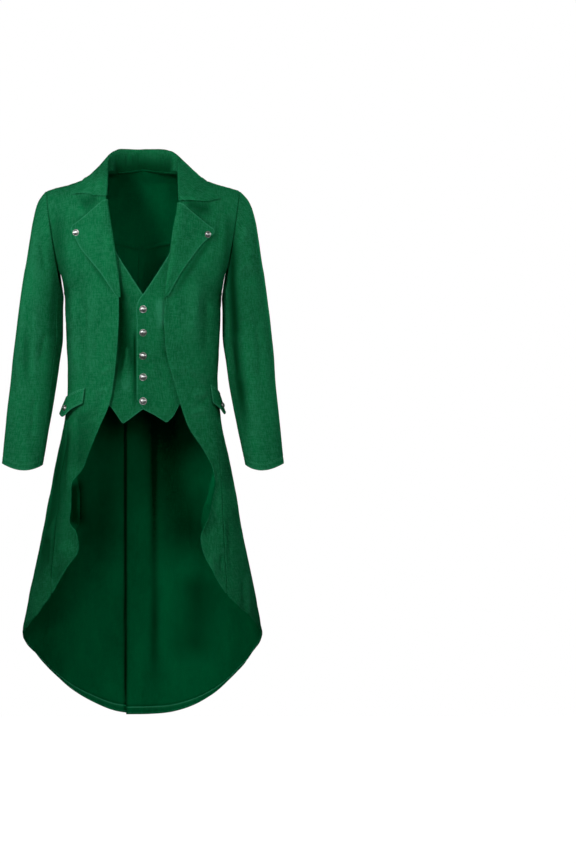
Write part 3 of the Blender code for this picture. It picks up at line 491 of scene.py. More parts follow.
def clothPlaces(grid):
    # Where each point lies on the flat cloth, with the yarns straight along the middle of the piece
    across, _ = distancesFrom(grid, 1)
    down, _ = distancesFrom(grid, 0)
    row, column = grid.shape[0] // 2, grid.shape[1] // 2
    wide = np.abs(grid[row, -1] - grid[row, 0])
    axis = 0 if wide[0] > wide[1] else 1
    way = 1.0 if grid[row, -1, axis] > grid[row, 0, axis] else -1.0
    places = np.zeros(grid.shape[:2] + (2,))
    places[:, :, 0] = grid[:, column:column + 1, axis] + way * (across - across[:, column:column + 1])
    places[:, :, 1] = -grid[row:row + 1, :, 2] + down - down[row:row + 1]
    return places


def shell(name, grid, normals, flip, outer, inner, wear, reverse, materials):
    rows, columns = grid.shape[:2]
    size = rows * columns
    index = np.arange(size).reshape(rows, columns)
    outside, inside = grid + normals * outer[..., None], grid - normals * inner[..., None]
    loop = np.concatenate([index[0, :], index[1:, -1], index[-1, -2::-1], index[-2:0:-1, 0]])
    push = np.zeros_like(grid)
    push[0] += grid[0] - grid[1]
    push[-1] += grid[-1] - grid[-2]
    push[:, 0] += grid[:, 0] - grid[:, 1]
    push[:, -1] += grid[:, -1] - grid[:, -2]
    push /= np.maximum(np.linalg.norm(push, axis=2, keepdims=True), 1e-9)
    middle = (outside + inside) / 2 + push * 0.4
    points = np.concatenate([outside.reshape(-1, 3), inside.reshape(-1, 3), middle.reshape(-1, 3)[loop]])
    a, b = index[:-1, :-1].ravel(), index[:-1, 1:].ravel()
    c, d = index[1:, 1:].ravel(), index[1:, :-1].ravel()
    skin = np.stack([a, b, c, d], axis=1)
    back = np.stack([a, d, c, b], axis=1) + size
    after = np.roll(loop, -1)
    rim = np.arange(len(loop)) + 2 * size
    rimAfter = np.roll(rim, -1)
    upper = np.stack([after, loop, rim, rimAfter], axis=1)
    lower = np.stack([rimAfter, rim, loop + size, after + size], axis=1)
    faces = np.concatenate([skin, back, upper, lower])
    if flip < 0:
        faces = faces[:, ::-1]
    sides = np.zeros(len(faces), int)
    sides[len(skin):len(skin) + len(back)] = int(reverse)
    mesh = bpy.data.meshes.new(name)
    mesh.from_pydata((points * mm).tolist(), [], faces.tolist())
    mesh.polygons.foreach_set("use_smooth", np.ones(len(faces), bool))
    mesh.polygons.foreach_set("material_index", sides)
    for material in materials:
        mesh.materials.append(material)
    flat = clothPlaces(grid).reshape(-1, 2) * mm
    flat = np.concatenate([flat, flat, flat[loop]])
    corners = np.zeros(len(mesh.loops), int)
    mesh.loops.foreach_get("vertex_index", corners)
    layer = mesh.uv_layers.new(name="clothUv")
    layer.data.foreach_set("uv", flat[corners].ravel())
    # Wear with painted light and shade, kept on the points for the material
    worn = np.concatenate([wear[0].ravel(), wear[1].ravel(), wear[0].ravel()[loop]])
    mesh.attributes.new("wear", "FLOAT", "POINT").data.foreach_set("value", worn)
    mesh.validate()
    piece = bpy.data.objects.new(name, mesh)
    bpy.context.scene.collection.objects.link(piece)
    return piece


def withAllowance(grid, normals, kind, side):
    # Cloth that runs on past a seam, under the neighbour
    if "allowance" not in borders[kind]:
        return grid, 0
    if side in ("top", "bottom"):
        turned, added = withAllowance(grid.transpose(1, 0, 2), normals.transpose(1, 0, 2), kind,
                                      "start" if side == "top" else "end")
        return turned.transpose(1, 0, 2), added
    if side == "start":
        turned, added = withAllowance(grid[:, ::-1], normals[:, ::-1], kind, "end")
        return turned[:, ::-1], added
    ahead = grid[:, -1] - grid[:, -3]
    ahead /= np.maximum(np.linalg.norm(ahead, axis=1, keepdims=True), 1e-9)
    reach = np.full((len(grid), 1), borders[kind]["allowance"])
    if "below" in borders[kind]:
        reach = 0.6 + (reach - 0.6) * softStep((borders[kind]["below"] - grid[:, -1, 2:]) / 12)
    if "above" in borders[kind]:
        reach = 0.6 + (reach - 0.6) * softStep((grid[:, -1, 2:] - borders[kind]["above"]) / 12)
    under = borders[kind].get("deep", 1.0)
    extra = [grid[:, -1] + ahead * far * reach - normals[:, -1] * deep * under
             for far, deep in ((0.07, 1.1), (0.3, 1.6), (1.0, 1.7))]
    return np.concatenate([grid, np.stack(extra, axis=1)], axis=1), len(extra)


stitchRows = {}


def addStitches(piece, path, normals):
    # Threads along a path of points in millimetres, each lying on the cloth with its middle raised
    steps = np.linalg.norm(np.diff(path, axis=0), axis=1)
    along = np.concatenate([[0.0], np.cumsum(steps)])
    if along[-1] < 3 * stitching["pitch"]:
        return
    count = int(along[-1] / stitching["pitch"])
    spots = (np.arange(count) + 0.5) * along[-1] / count
    for spot in spots:
        reach = [spot + half * stitching["length"] / 2 for half in (-1, 1)]
        ends = [np.array([np.interp(place, along, path[:, k]) for k in range(3)]) for place in reach]
        up = np.array([np.interp(spot, along, normals[:, k]) for k in range(3)])
        up /= max(np.linalg.norm(up), 1e-9)
        direction = (ends[1] - ends[0]) / max(np.linalg.norm(ends[1] - ends[0]), 1e-9)
        side = np.cross(up, direction)
        middle = (ends[0] + ends[1]) / 2
        ring = [middle + side * stitching["width"], middle + up * stitching["height"],
                middle - side * stitching["width"], middle - up * 0.3]
        stitchRows.setdefault(piece, []).append([ends[0], *ring, ends[1]])


def makeThreads(material):
    for piece, stitches in stitchRows.items():
        points = np.array(stitches).reshape(-1, 3) * mm
        faces = []
        for k in range(len(stitches)):
            base = 6 * k
            for turn in range(4):
                a, b = base + 1 + turn, base + 1 + (turn + 1) % 4
                faces += [(base, b, a), (base + 5, a, b)]
        mesh = bpy.data.meshes.new(piece + "Thread")
        mesh.from_pydata(points.tolist(), [], faces)
        work = bmesh.new()
        work.from_mesh(mesh)
        bmesh.ops.recalc_face_normals(work, faces=work.faces)
        work.to_mesh(mesh)
        work.free()
        mesh.polygons.foreach_set("use_smooth", np.ones(len(faces), bool))
        mesh.materials.append(material)
        thread = bpy.data.objects.new(piece + "Thread", mesh)
        bpy.context.scene.collection.objects.link(thread)
        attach(thread, "root")


def borderPath(grid, normals, side, away, trim):
    # The line that runs this far from one border of the grid, cut short at both ends
    if side in ("top", "bottom"):
        grid, normals = grid.transpose(1, 0, 2), normals.transpose(1, 0, 2)
    if side in ("bottom", "end"):
        grid, normals = grid[:, ::-1], normals[:, ::-1]
    first, _ = distancesFrom(grid, 1)
    path, tops = [np.array([[np.interp(away, first[i], values[i, :, k]) for k in range(3)]
                            for i in range(len(grid))]) for values in (grid, normals)]
    enough = first[:, -1] > away * 1.6
    path, tops = path[enough], tops[enough]
    if len(path) < 4:
        return path, tops
    steps = np.linalg.norm(np.diff(path, axis=0), axis=1)
    along = np.concatenate([[0.0], np.cumsum(steps)])
    kept = (along > trim[0]) & (along < along[-1] - trim[1])
    return path[kept], tops[kept]


def hollowEnds(grid, hollow):
    # Cuts the first and last columns to a soft curve that runs into the cloth
    fromStart, fromEnd = distancesFrom(grid, 1)
    fromTop, fromBottom = distancesFrom(grid, 0)
    share = np.clip((fromTop / (fromTop + fromBottom)) / hollow["share"], 0, 1)
    curve = hollow["depth"] * np.sin(np.pi * share) ** 1.2
    moved = grid.copy()
    for away, inward in ((fromStart, grid[:, 4:5] - grid[:, :1]), (fromEnd, grid[:, -5:-4] - grid[:, -1:])):
        inward = inward / np.maximum(np.linalg.norm(inward, axis=2, keepdims=True), 1e-9)
        moved += inward * (curve * softStep(1 - away / hollow["reach"]))[..., None]
    return moved


finished = {}


def hump(gap, width):
    return np.exp(-((gap / width) ** 2))


def newGrid(piece):
    # The grid of the piece's node, with close rows by its borders and even ones between them
    kinds = piece["borders"]
    grid = panelGrid(piece["node"], *piece["corners"]) if "corners" in piece else piece["grid"]
    step = piece.get("step", clothSizes["step"])
    middle = (grid.shape[1] // 2,) if piece.get("sharpMiddle") else ()
    grid = resample(grid, borders[kinds["start"]]["rows"], borders[kinds["end"]]["rows"], step,
                    middle, piece.get("straightRows", ()))
    grid = grid.transpose(1, 0, 2)
    grid = resample(grid, borders[kinds["top"]]["rows"], borders[kinds["bottom"]]["rows"], step)
    grid = grid.transpose(1, 0, 2)
    return hollowEnds(grid, piece["hollow"]) if "hollow" in piece else grid


def turnedUp(kinds, away, heights):
    # One where the cloth is turned up inside, and nought elsewhere
    turned = np.zeros(heights.shape)
    for side, kind in kinds.items():
        width = borders[kind].get("turnUp")
        if width:
            edge = softStep((width - away[side]) / 1.2 + 0.5)
            if "seamAbove" in borders[kind]:
                edge = edge * softStep((borders[kind]["seamAbove"] - heights) / 2 + 0.5)
            turned = np.maximum(turned, edge)
    return turned


# Amounts for wear and painted light: painted shade in crease troughs and painted highlight on their ridges,
# painted shade along thread rows with painted highlight beside them, rubbed edges that also serve as painted
# highlight, and painted shade in seams
wearAndPaintedLightAmounts = {
    "crease": 0.42, "least": -0.9, "most": 0.7,
    "thread": 1.0, "besideThread": 0.45, "edge": 0.9, "seam": 1.0,
}


def wearAndPaintedLightOf(piece, grid, away, creases, shades):
    # Above nought where the cloth is rubbed pale or given a painted highlight, and below it where painted
    # shade deepens the colour
    # Painted shade in crease troughs and painted highlight on their ridges
    wear = np.clip(creases * wearAndPaintedLightAmounts["crease"], wearAndPaintedLightAmounts["least"], wearAndPaintedLightAmounts["most"])
    for side, kind in piece["borders"].items():
        # Painted shade along each thread row, with a painted highlight just beside it
        for distance in borders[kind].get("stitch", []):
            wear -= wearAndPaintedLightAmounts["thread"] * hump(away[side] - distance, 1.5)
            wear += wearAndPaintedLightAmounts["besideThread"] * hump(away[side] - distance + 2.6, 1.3)
        # A pale rubbed edge, which also serves as a painted highlight on the rolled edge
        if "roll" in borders[kind]:
            wear = np.maximum(wear, wearAndPaintedLightAmounts["edge"] * hump(away[side], 2.0))
        # Painted shade in the seam's groove
        if "dip" in borders[kind]:
            wear = np.minimum(wear, -wearAndPaintedLightAmounts["seam"] * hump(away[side], 1.9) + 0.15)
    # Painted shade over given places, such as the collar's stand inside the neck
    for place in piece.get("covered", []):
        close = softStep(1 - away[place["side"]] / place["reach"])
        close = close * softStep((place["within"] - np.abs(grid[:, :, 0])) / 16 + 0.5)
        wear = np.where(close > 0.01, np.minimum(wear, 0.4 - (0.4 + place["amount"]) * close), wear)
    # Painted shade strokes
    wear = wear + shades
    # Painted shade along the edge that lies under the other back
    if "lapped" in piece:
        near = softStep((piece["lapped"] - grid[:, :, 0]) / 1.2 + 0.5)
        wear = np.minimum(wear, 0.4 - 1.1 * near)
    return wear


def insideWearAndPaintedLightOf(piece, away, wear, insidePaintedShade):
    # The same for the inner face: part of the outer values, painted shade strokes, and a painted highlight
    # along a turned-up hem's stitch row with a painted shadow just past the hem's edge
    insideWearAndPaintedLight = np.maximum(wear, 0) * 0.4 + insidePaintedShade
    for side, kind in piece["borders"].items():
        for distance in borders[kind].get("inside", [])[1:]:
            # Painted highlight along the stitch row, and painted shadow just past the turned-up edge
            insideWearAndPaintedLight += 0.75 * hump(away[side] - distance, 1.3)
            insideWearAndPaintedLight -= 0.6 * hump(away[side] - distance - 2.8, 1.3)
    return insideWearAndPaintedLight


def sewBorders(name, piece, grid, normals, wall):
    trim = piece.get("trim", (3.0, 3.0))
    for side, kind in piece["borders"].items():
        for distance in borders[kind].get("stitch", []):
            path, tops = borderPath(grid, normals, side, distance, trim)
            addStitches(name, path + tops * (wall / 2 - 0.05), tops)
        for distance in borders[kind].get("inside", []):
            path, tops = borderPath(grid, normals, side, distance, trim)
            addStitches(name, path - tops * (wall / 2 + clothSizes["turnUp"] - 0.05), -tops)


def makeSheet(name, piece):
    # One sewn piece of cloth, from its node's grid to its finished mesh
    kinds = piece["borders"]
    grid = newGrid(piece)
    normals, flip = normalsOf(grid, piece["facing"])
    fromStart, fromEnd = distancesFrom(grid, 1)
    fromTop, fromBottom = distancesFrom(grid, 0)
    away = {"start": fromStart, "end": fromEnd, "top": fromTop, "bottom": fromBottom}
    creases = strokes(grid, normals, piece.get("creases", []), creaseSlope)
    # Painted shade strokes, for the outer face and for the inner face
    shades = strokes(grid, normals, piece.get("shades", []))
    insidePaintedShade = strokes(grid, -normals, piece.get("insideShades", []))
    relief = creases + wobble(grid) * piece.get("uneven", 1.0)
    for side, kind in kinds.items():
        relief += borderRelief(kind, away[side], grid[:, :, 2]) + puckers(grid, kind, away[side])
    wall = piece.get("wall", clothSizes["wall"])
    thin = np.ones(relief.shape)
    if "taper" in piece:
        low = softStep(1 - away["bottom"] / piece["taper"]["reach"])
        relief -= piece["taper"]["sink"] * low
        inward = grid[:, 4:5] - grid[:, :1]
        inward = inward / np.maximum(np.linalg.norm(inward, axis=2, keepdims=True), 1e-9)
        grid = grid + inward * (piece["taper"]["tuck"] * low ** 2 * softStep(1 - fromStart / 12))[..., None]
        thin -= piece["taper"]["thin"] * low
    outer, inner = thin * wall / 2, thin * wall / 2
    inner += turnedUp(kinds, away, grid[:, :, 2]) * clothSizes["turnUp"]
    wear = wearAndPaintedLightOf(piece, grid, away, creases, shades)
    insideWearAndPaintedLight = insideWearAndPaintedLightOf(piece, away, wear, insidePaintedShade)
    if "bow" in piece:
        loose = np.sin(np.pi * np.clip(fromStart / (fromStart + fromEnd), 0, 1)) ** 2
        relief += piece["bow"] * loose
        grid[:, :, 2] -= piece["sag"] * loose
    grid = grid + normals * relief[..., None]
    rough, _ = normalsOf(grid, piece["facing"])
    cells = np.cross(grid[1:, :-1] - grid[:-1, :-1], grid[:-1, 1:] - grid[:-1, :-1])
    area = float(np.linalg.norm(cells, axis=2).sum()) * mm * mm
    sewBorders(name, piece, grid, rough, wall)
    for side, kind in kinds.items():
        grid, added = withAllowance(grid, rough, kind, side)
        if added:
            width = [(0, 0), (0, 0)]
            axis = 0 if side in ("top", "bottom") else 1
            width[axis] = (added, 0) if side in ("top", "start") else (0, added)
            outer, inner = np.pad(outer, width, "edge"), np.pad(inner, width, "edge")
            wear, insideWearAndPaintedLight = np.pad(wear, width, "edge"), np.pad(insideWearAndPaintedLight, width, "edge")
            rough, _ = normalsOf(grid, piece["facing"])
    made = shell(name, grid, rough, flip, outer, inner, (wear, insideWearAndPaintedLight), piece.get("reverse", True),
                 piece["materials"])
    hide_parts(piece["node"])
    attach(made, "root")
    widest, longest = float(fromEnd[:, 0].max()) * mm, float(fromBottom[0].max()) * mm
    finished[name] = {"object": made, "flat": (widest, longest), "area": area, "held": "hung"}
    print(f"  {name}: {grid.shape[0]} x {grid.shape[1]} points,"
          f" {widest:.3f} x {longest:.3f} m, {area:.4f} m2")
    return made


# Materials

def group(name, inputs, outputs):
    tree = bpy.data.node_groups.new(name, "ShaderNodeTree")
    for label, kind in inputs:
        tree.interface.new_socket(label, in_out="INPUT", socket_type=kind)
    for label, kind in outputs:
        tree.interface.new_socket(label, in_out="OUTPUT", socket_type=kind)
    return tree, tree.nodes.new("NodeGroupInput"), tree.nodes.new("NodeGroupOutput")


def mathNode(tree, operation, first, second=0.0, third=None):
    node = tree.nodes.new("ShaderNodeMath")
    node.operation = operation
    for socket, value in zip(node.inputs, (first, second, third)):
        if isinstance(value, bpy.types.NodeSocket):
            tree.links.new(value, socket)
        elif value is not None:
            socket.default_value = value
    return node.outputs[0]


def noiseNode(tree, vector, scale, detail=3.0, rough=0.55):
    node = tree.nodes.new("ShaderNodeTexNoise")
    node.inputs["Scale"].default_value = scale
    node.inputs["Detail"].default_value = detail
    node.inputs["Roughness"].default_value = rough
    tree.links.new(vector, node.inputs["Vector"])
    return node.outputs["Fac"]


def stretched(tree, vector, scale):
    node = tree.nodes.new("ShaderNodeVectorMath")
    node.operation = "MULTIPLY"
    tree.links.new(vector, node.inputs[0])
    node.inputs[1].default_value = scale
    return node.outputs[0]


def twillWeave():
    # Diagonal ridges of a twill with uneven yarns, from a place on the cloth in metres
    tree, start, end = group("twillWeave", [("Vector", "NodeSocketVector")],
                             [("Height", "NodeSocketFloat"), ("Tone", "NodeSocketFloat")])
    place = start.outputs["Vector"]
    split = tree.nodes.new("ShaderNodeSeparateXYZ")
    tree.links.new(place, split.inputs[0])
    warp = noiseNode(tree, place, 420.0, 2.0)
    slant = mathNode(tree, "ADD", mathNode(tree, "MULTIPLY", split.outputs[0], 0.82), split.outputs[1])
    slant = mathNode(tree, "MULTIPLY_ADD", slant, 5600.0, mathNode(tree, "MULTIPLY", warp, 2.4))
    ridges = mathNode(tree, "SINE", slant)
    yarns = mathNode(tree, "SINE", mathNode(tree, "MULTIPLY", split.outputs[0], 9800.0))
    down = noiseNode(tree, stretched(tree, place, (340.0, 62.0, 1.0)), 1.0, 3.0, 0.7)
    across = noiseNode(tree, stretched(tree, place, (56.0, 310.0, 1.0)), 1.0, 3.0, 0.7)
    fine = noiseNode(tree, stretched(tree, place, (2100.0, 260.0, 1.0)), 1.0, 1.0)
    height = mathNode(tree, "MULTIPLY_ADD", yarns, 0.16, mathNode(tree, "MULTIPLY", ridges, 0.34))
    height = mathNode(tree, "MULTIPLY_ADD", mathNode(tree, "ADD", down, across), 1.1, height)
    tree.links.new(height, end.inputs["Height"])
    tone = mathNode(tree, "MULTIPLY_ADD", down, 0.5, mathNode(tree, "MULTIPLY", across, 0.35))
    tone = mathNode(tree, "MULTIPLY_ADD", fine, 0.15, tone)
    tree.links.new(mathNode(tree, "MULTIPLY_ADD", ridges, 0.04, tone), end.inputs["Tone"])
    return tree


def clothMottle():
    # How the cloth varies from place to place: broad cloudiness and fine handling marks
    tree, start, end = group("clothMottle", [("Vector", "NodeSocketVector")],
                             [("Tone", "NodeSocketFloat"), ("Height", "NodeSocketFloat")])
    place = start.outputs["Vector"]
    broad = noiseNode(tree, place, 7.0, 3.0)
    clouds = noiseNode(tree, stretched(tree, place, (1.0, 1.0, 0.35)), 34.0, 4.0, 0.6)
    rubbed = noiseNode(tree, stretched(tree, place, (1.0, 1.0, 0.4)), 150.0, 3.0)
    tone = mathNode(tree, "MULTIPLY_ADD", broad, 0.45, mathNode(tree, "MULTIPLY", clouds, 0.4))
    tree.links.new(mathNode(tree, "MULTIPLY_ADD", rubbed, 0.15, tone), end.inputs["Tone"])
    tree.links.new(mathNode(tree, "MULTIPLY_ADD", clouds, 0.6, rubbed), end.inputs["Height"])
    return tree


def edgeWear():
    # Turns the values kept on the points into a paler share, for a rubbed edge and painted highlights, and a
    # darker share, for painted shade in creases, seams and under other pieces
    tree, start, end = group("edgeWear", [("Wear", "NodeSocketFloat"), ("Grain", "NodeSocketFloat")],
                             [("Paler", "NodeSocketFloat"), ("Darker", "NodeSocketFloat")])
    worn = start.outputs["Wear"]
    broken = mathNode(tree, "MULTIPLY_ADD", start.outputs["Grain"], 0.9, 0.45)
    paler = mathNode(tree, "MULTIPLY", mathNode(tree, "MAXIMUM", worn, 0.0), broken)
    below = mathNode(tree, "MULTIPLY", worn, -1.0)
    darker = mathNode(tree, "MULTIPLY", mathNode(tree, "MAXIMUM", below, 0.0), broken)
    tree.links.new(paler, end.inputs["Paler"])
    tree.links.new(darker, end.inputs["Darker"])
    return tree


def useGroup(tree, source, **links):
    node = tree.nodes.new("ShaderNodeGroup")
    node.node_tree = source
    for label, socket in links.items():
        tree.links.new(socket, node.inputs[label])
    return node.outputs


def mixColour(tree, amount, first, second):
    node = tree.nodes.new("ShaderNodeMix")
    node.data_type = "RGBA"
    for socket, value in ((node.inputs[0], amount), (node.inputs[6], first), (node.inputs[7], second)):
        if isinstance(value, bpy.types.NodeSocket):
            tree.links.new(value, socket)
        else:
            socket.default_value = value if isinstance(value, float) else (*value, 1.0)
    return node.outputs[2]


def newMaterial(name, settings):
    material = bpy.data.materials.new(name)
    material.use_nodes = True
    material.diffuse_color = (*settings["colour"], 1.0)
    shader = material.node_tree.nodes["Principled BSDF"]
    shader.inputs["Base Color"].default_value = (*settings["colour"], 1.0)
    shader.inputs["Roughness"].default_value = settings["roughness"]
    shader.inputs["Metallic"].default_value = settings.get("metallic", 0.0)
    shader.inputs["Specular IOR Level"].default_value = settings["specular"]
    return material, material.node_tree, shader


def clothMaterial(name, settings):
    material, tree, shader = newMaterial(name, settings)
    coordinates = tree.nodes.new("ShaderNodeTexCoord")
    flat = tree.nodes.new("ShaderNodeUVMap")
    flat.uv_map = "clothUv"
    # The points' wear with painted light and shade
    worn = tree.nodes.new("ShaderNodeAttribute")
    worn.attribute_name = "wear"
    weave = useGroup(tree, groups["weave"], Vector=flat.outputs["UV"])
    mottle = useGroup(tree, groups["mottle"], Vector=coordinates.outputs["Object"])
    wear = useGroup(tree, groups["wear"], Wear=worn.outputs["Fac"], Grain=weave["Tone"])
    deep = tuple(value * settings["deep"] for value in settings["colour"])
    pale = tuple(value * settings["pale"] for value in settings["colour"])
    tone = mathNode(tree, "MULTIPLY_ADD", mottle["Tone"], 2.3, -0.65)
    colour = mixColour(tree, tone, deep, pale)
    # Pale flecks of yarn, which also stand in as painted fibre sheen
    flecksAndSheen = mathNode(tree, "MULTIPLY_ADD", weave["Tone"], 8.5, -3.85)
    flecksAndSheen = mathNode(tree, "MINIMUM", mathNode(tree, "MAXIMUM", flecksAndSheen, 0.0), 1.0)
    flecksAndSheen = mathNode(tree, "MULTIPLY", flecksAndSheen, settings["fleckShare"])
    colour = mixColour(tree, flecksAndSheen, colour, settings["fleck"])
    # Paler colour for rubbed wear and for painted highlights
    colour = mixColour(tree, mathNode(tree, "MULTIPLY", wear["Paler"], settings["wornShare"]), colour,
                       settings["worn"])
    # Painted shade: a deeper colour where the values fall below nought
    covered = settings["covered"]
    paintedShadeColour = tuple(value * share for value, share in zip(settings["colour"], (0.02, covered, 0.8 * covered)))
    colour = mixColour(tree, mathNode(tree, "MINIMUM", wear["Darker"], 1.0), colour, paintedShadeColour)
    tree.links.new(colour, shader.inputs["Base Color"])
    height = mathNode(tree, "MULTIPLY_ADD", mottle["Height"], settings["crumple"], weave["Height"])
    bump = tree.nodes.new("ShaderNodeBump")
    bump.inputs["Strength"].default_value = settings["bump"]
    bump.inputs["Distance"].default_value = 0.0004
    tree.links.new(height, bump.inputs["Height"])
    tree.links.new(bump.outputs[0], shader.inputs["Normal"])
    rough = mathNode(tree, "MULTIPLY_ADD", weave["Tone"], 0.12, settings["roughness"] - 0.06)
    tree.links.new(rough, shader.inputs["Roughness"])
    return material


groups = {"weave": twillWeave(), "mottle": clothMottle(), "wear": edgeWear()}

clothLooks = {
    "twill": {
        "colour": (0.0045, 0.14, 0.047), "deep": 0.66, "pale": 1.34, "worn": (0.045, 0.3, 0.16),
        "fleck": (0.032, 0.245, 0.12), "fleckShare": 0.48, "covered": 0.22,
        "wornShare": 0.6, "roughness": 0.62, "specular": 0.0,
        "bump": 1.0, "crumple": 1.3,
    },
    # The cloth's back face, a little darker than the face, partly as painted shade of the coat's inside
    "twillReverse": {
        "colour": (0.0001, 0.115, 0.036), "deep": 0.7, "pale": 1.3, "worn": (0.05, 0.36, 0.18),
        "fleck": (0.001, 0.155, 0.05), "fleckShare": 0.3, "covered": 0.12,
        "wornShare": 0.9, "roughness": 0.9, "specular": 0.0, "bump": 1.0, "crumple": 1.3,
    },
    "vestTwill": {
        "colour": (0.004, 0.13, 0.043), "deep": 0.66, "pale": 1.34, "worn": (0.04, 0.28, 0.15),
        "fleck": (0.029, 0.228, 0.11), "fleckShare": 0.48, "covered": 0.22,
        "wornShare": 0.6, "roughness": 0.64, "specular": 0.0,
        "bump": 1.0, "crumple": 1.3,
    },
}
twill = clothMaterial("twill", clothLooks["twill"])
twillReverse = clothMaterial("twillReverse", clothLooks["twillReverse"])
vestTwill = clothMaterial("vestTwill", clothLooks["vestTwill"])
thread, _, _ = newMaterial("greenThread", {
    "colour": (0.05, 0.36, 0.19), "roughness": 0.55, "specular": 0.3,
})
print("stage: materials made")


# The coat's cloth. Corners are the two ends of the top row, in millimetres

cloth = (twill, twillReverse)
vestCloth = (vestTwill, twillReverse)


def sewn(*kinds):
    # How the piece's borders are sewn: the two sides of its grid, its top and its bottom
    return dict(zip(("start", "end", "top", "bottom"), kinds))


def bothSides(name, node, right, left):
    # A piece of each side, named with the wearer's side
    for side, own in (("Right", right), ("Left", left)):
        yield name + side, {"node": f"{node}_{side.lower()}", **own}


frontPieces = dict(bothSides(
    "front", "front",
    {"corners": [(-80, -10, 19), (-212, -12, -22)]},
    {"corners": [(80, -10, 19), (212, -12, -22)]},
))
for piece in frontPieces.values():
    piece.update({
        "facing": (0, -1, 0), "creases": bodyCreases, "shades": bodyShades, "insideShades": insideShades,
        "materials": cloth, "slot": "twill",
        "borders": sewn("facing", "sideSeam", "lap", "plain"),
    })

backPieces = dict(bothSides(
    "back", "back",
    {"corners": [(0, 111, -138), (-197, 65, -97)], "borders": {"start": "vent"}},
    # The left back has painted shade where the right back laps over it
    {"corners": [(-10, 106, -138), (197, 65, -97)], "borders": {"start": "underlap"}, "lapped": 2.6},
))
for piece in backPieces.values():
    piece.update({
        "facing": (0, 1, 0), "creases": bodyCreases, "shades": bodyShades, "insideShades": insideShades,
        "materials": cloth, "slot": "twill",
    })
    piece["borders"].update({"end": "backSide", "top": "seam", "bottom": "hem"})

yokePieces = {
    "yokeBack": {
        "node": "yoke_back", "corners": [(-212, -11, -22), (212, -11, -22)], "facing": (0, 0.5, 1),
        "creases": bodyCreases, "materials": cloth, "slot": "twill", "sharpMiddle": True,
        "borders": sewn("yokeSide", "yokeSide", "seam", "lap"),
    },
}

sleevePieces = dict(bothSides(
    "sleeveTop", "sleeve_top",
    {"corners": [(-182, -41, -224), (-186, 63, -177)], "facing": (-1, 0, 0)},
    {"corners": [(182, -41, -224), (186, 63, -177)], "facing": (1, 0, 0)},
))
underPieces = dict(bothSides(
    "sleeveUnder", "sleeve_under",
    {"corners": [(-182, -40, -225), (-186, 62, -178)], "facing": (1, 0, 0)},
    {"corners": [(182, -40, -225), (186, 62, -178)], "facing": (-1, 0, 0)},
))
for piece in sleevePieces.values():
    piece["borders"] = sewn("lap", "lap", "armhole", "hem")
for piece in underPieces.values():
    piece["borders"] = sewn("seam", "seam", "armhole", "hem")
sleevePieces.update(underPieces)
for piece in sleevePieces.values():
    piece.update({"creases": sleeveCreases, "shades": sleeveShades, "materials": cloth, "slot": "twill",
                  "uneven": 0.35})

collarCreases = seenFrom("front", [
    (3.2, -1.1, (-34, 66), (-35, 36)),
    (3.6, 0.8, (-26, 64), (-26, 38)),
    (3.4, -0.8, (-8, 68), (-9, 44)),
    (3.2, -1.2, (44, 66), (46, 34)),
    (3.4, 0.9, (53, 62), (54, 34)),
    (3.2, -1.1, (62, 62), (64, 30)),
]) + seenFrom("back", [
    (6, 0.8, (60, 40), (96, 12)),
    (6, -0.8, (-52, 38), (-88, 16)),
])

collarPieces = {
    "coatCollar": {
        "creases": collarCreases,
        "node": "collar", "corners": [(-154, -66, -32), (154, -66, -33)], "facing": (0, 1, 0),
        "materials": cloth, "slot": "twill", "step": clothSizes["fineStep"], "reverse": False,
        "wall": clothSizes["doubleWall"], "uneven": 0.7,
        "hollow": {"share": 0.62, "depth": 6.0, "reach": 34.0},
        # Painted shade over the stand, which sits inside the neck
        "covered": [{"side": "bottom", "reach": 74.0, "amount": 1.0, "within": 66.0}],
        "borders": sewn("edge", "edge", "edge", "neckSeam"),
    },
}

lapelPieces = dict(bothSides(
    "lapel", "lapel",
    {"corners": [(-76, -91, -47), (-152, -96, -101)]},
    {"corners": [(76, -96, -55), (153, -97, -109)]},
))
for piece in lapelPieces.values():
    piece.update({
        "facing": (0, -1, 0), "materials": cloth, "slot": "twill", "step": clothSizes["fineStep"],
        "reverse": False, "wall": clothSizes["doubleWall"],
        "taper": {"reach": 40, "sink": 1.0, "thin": 0.55, "tuck": 3.4},
        "borders": sewn("plain", "edge", "edge", "plain"),
    })

vestPieces = dict(bothSides(
    "vest", "vest",
    {"corners": [(-94, -30, 1), (-171, -46, -29)]},
    {"corners": [(94, -30, 2), (171, -46, -29)]},
))
for piece in vestPieces.values():
    piece.update({
        "facing": (0, -1, 0), "creases": vestCreases, "shades": vestShades,
        "materials": vestCloth, "slot": "waistcoat_twill", "straightRows": (-2, -1), "uneven": 0.5,
        "borders": sewn("edge", "plain", "plain", "edge"),
    })

flapPieces = dict(bothSides(
    "flap", "flap",
    {"corners": [(-127, -78, -455), (-169, 7, -476)], "facing": (-0.8, -0.6, 0)},
    {"corners": [(149, -59, -448), (169, 13, -470)], "facing": (0.9, -0.4, 0)},
))
plackets = dict(bothSides(
    "cuffPlacket", "cuff_placket",
    {"corners": [(-245, 41, -497), (-270, 36, -497)], "facing": (-0.5, 0.9, 0)},
    {"corners": [(245, 41, -497), (270, 36, -497)], "facing": (0.5, 0.9, 0)},
))
for piece in flapPieces.values():
    piece["borders"] = sewn("stitched", "stitched", "stitched", "stitched")
for piece in plackets.values():
    piece["borders"] = sewn("stitched", "stitched", "stitched", "edge")
flapPieces.update(plackets)
for piece in flapPieces.values():
    piece.update({
        "materials": cloth, "slot": "twill", "step": clothSizes["fineStep"], "reverse": False,
        "wall": clothSizes["doubleWall"], "trim": (4.0, 4.0),
    })

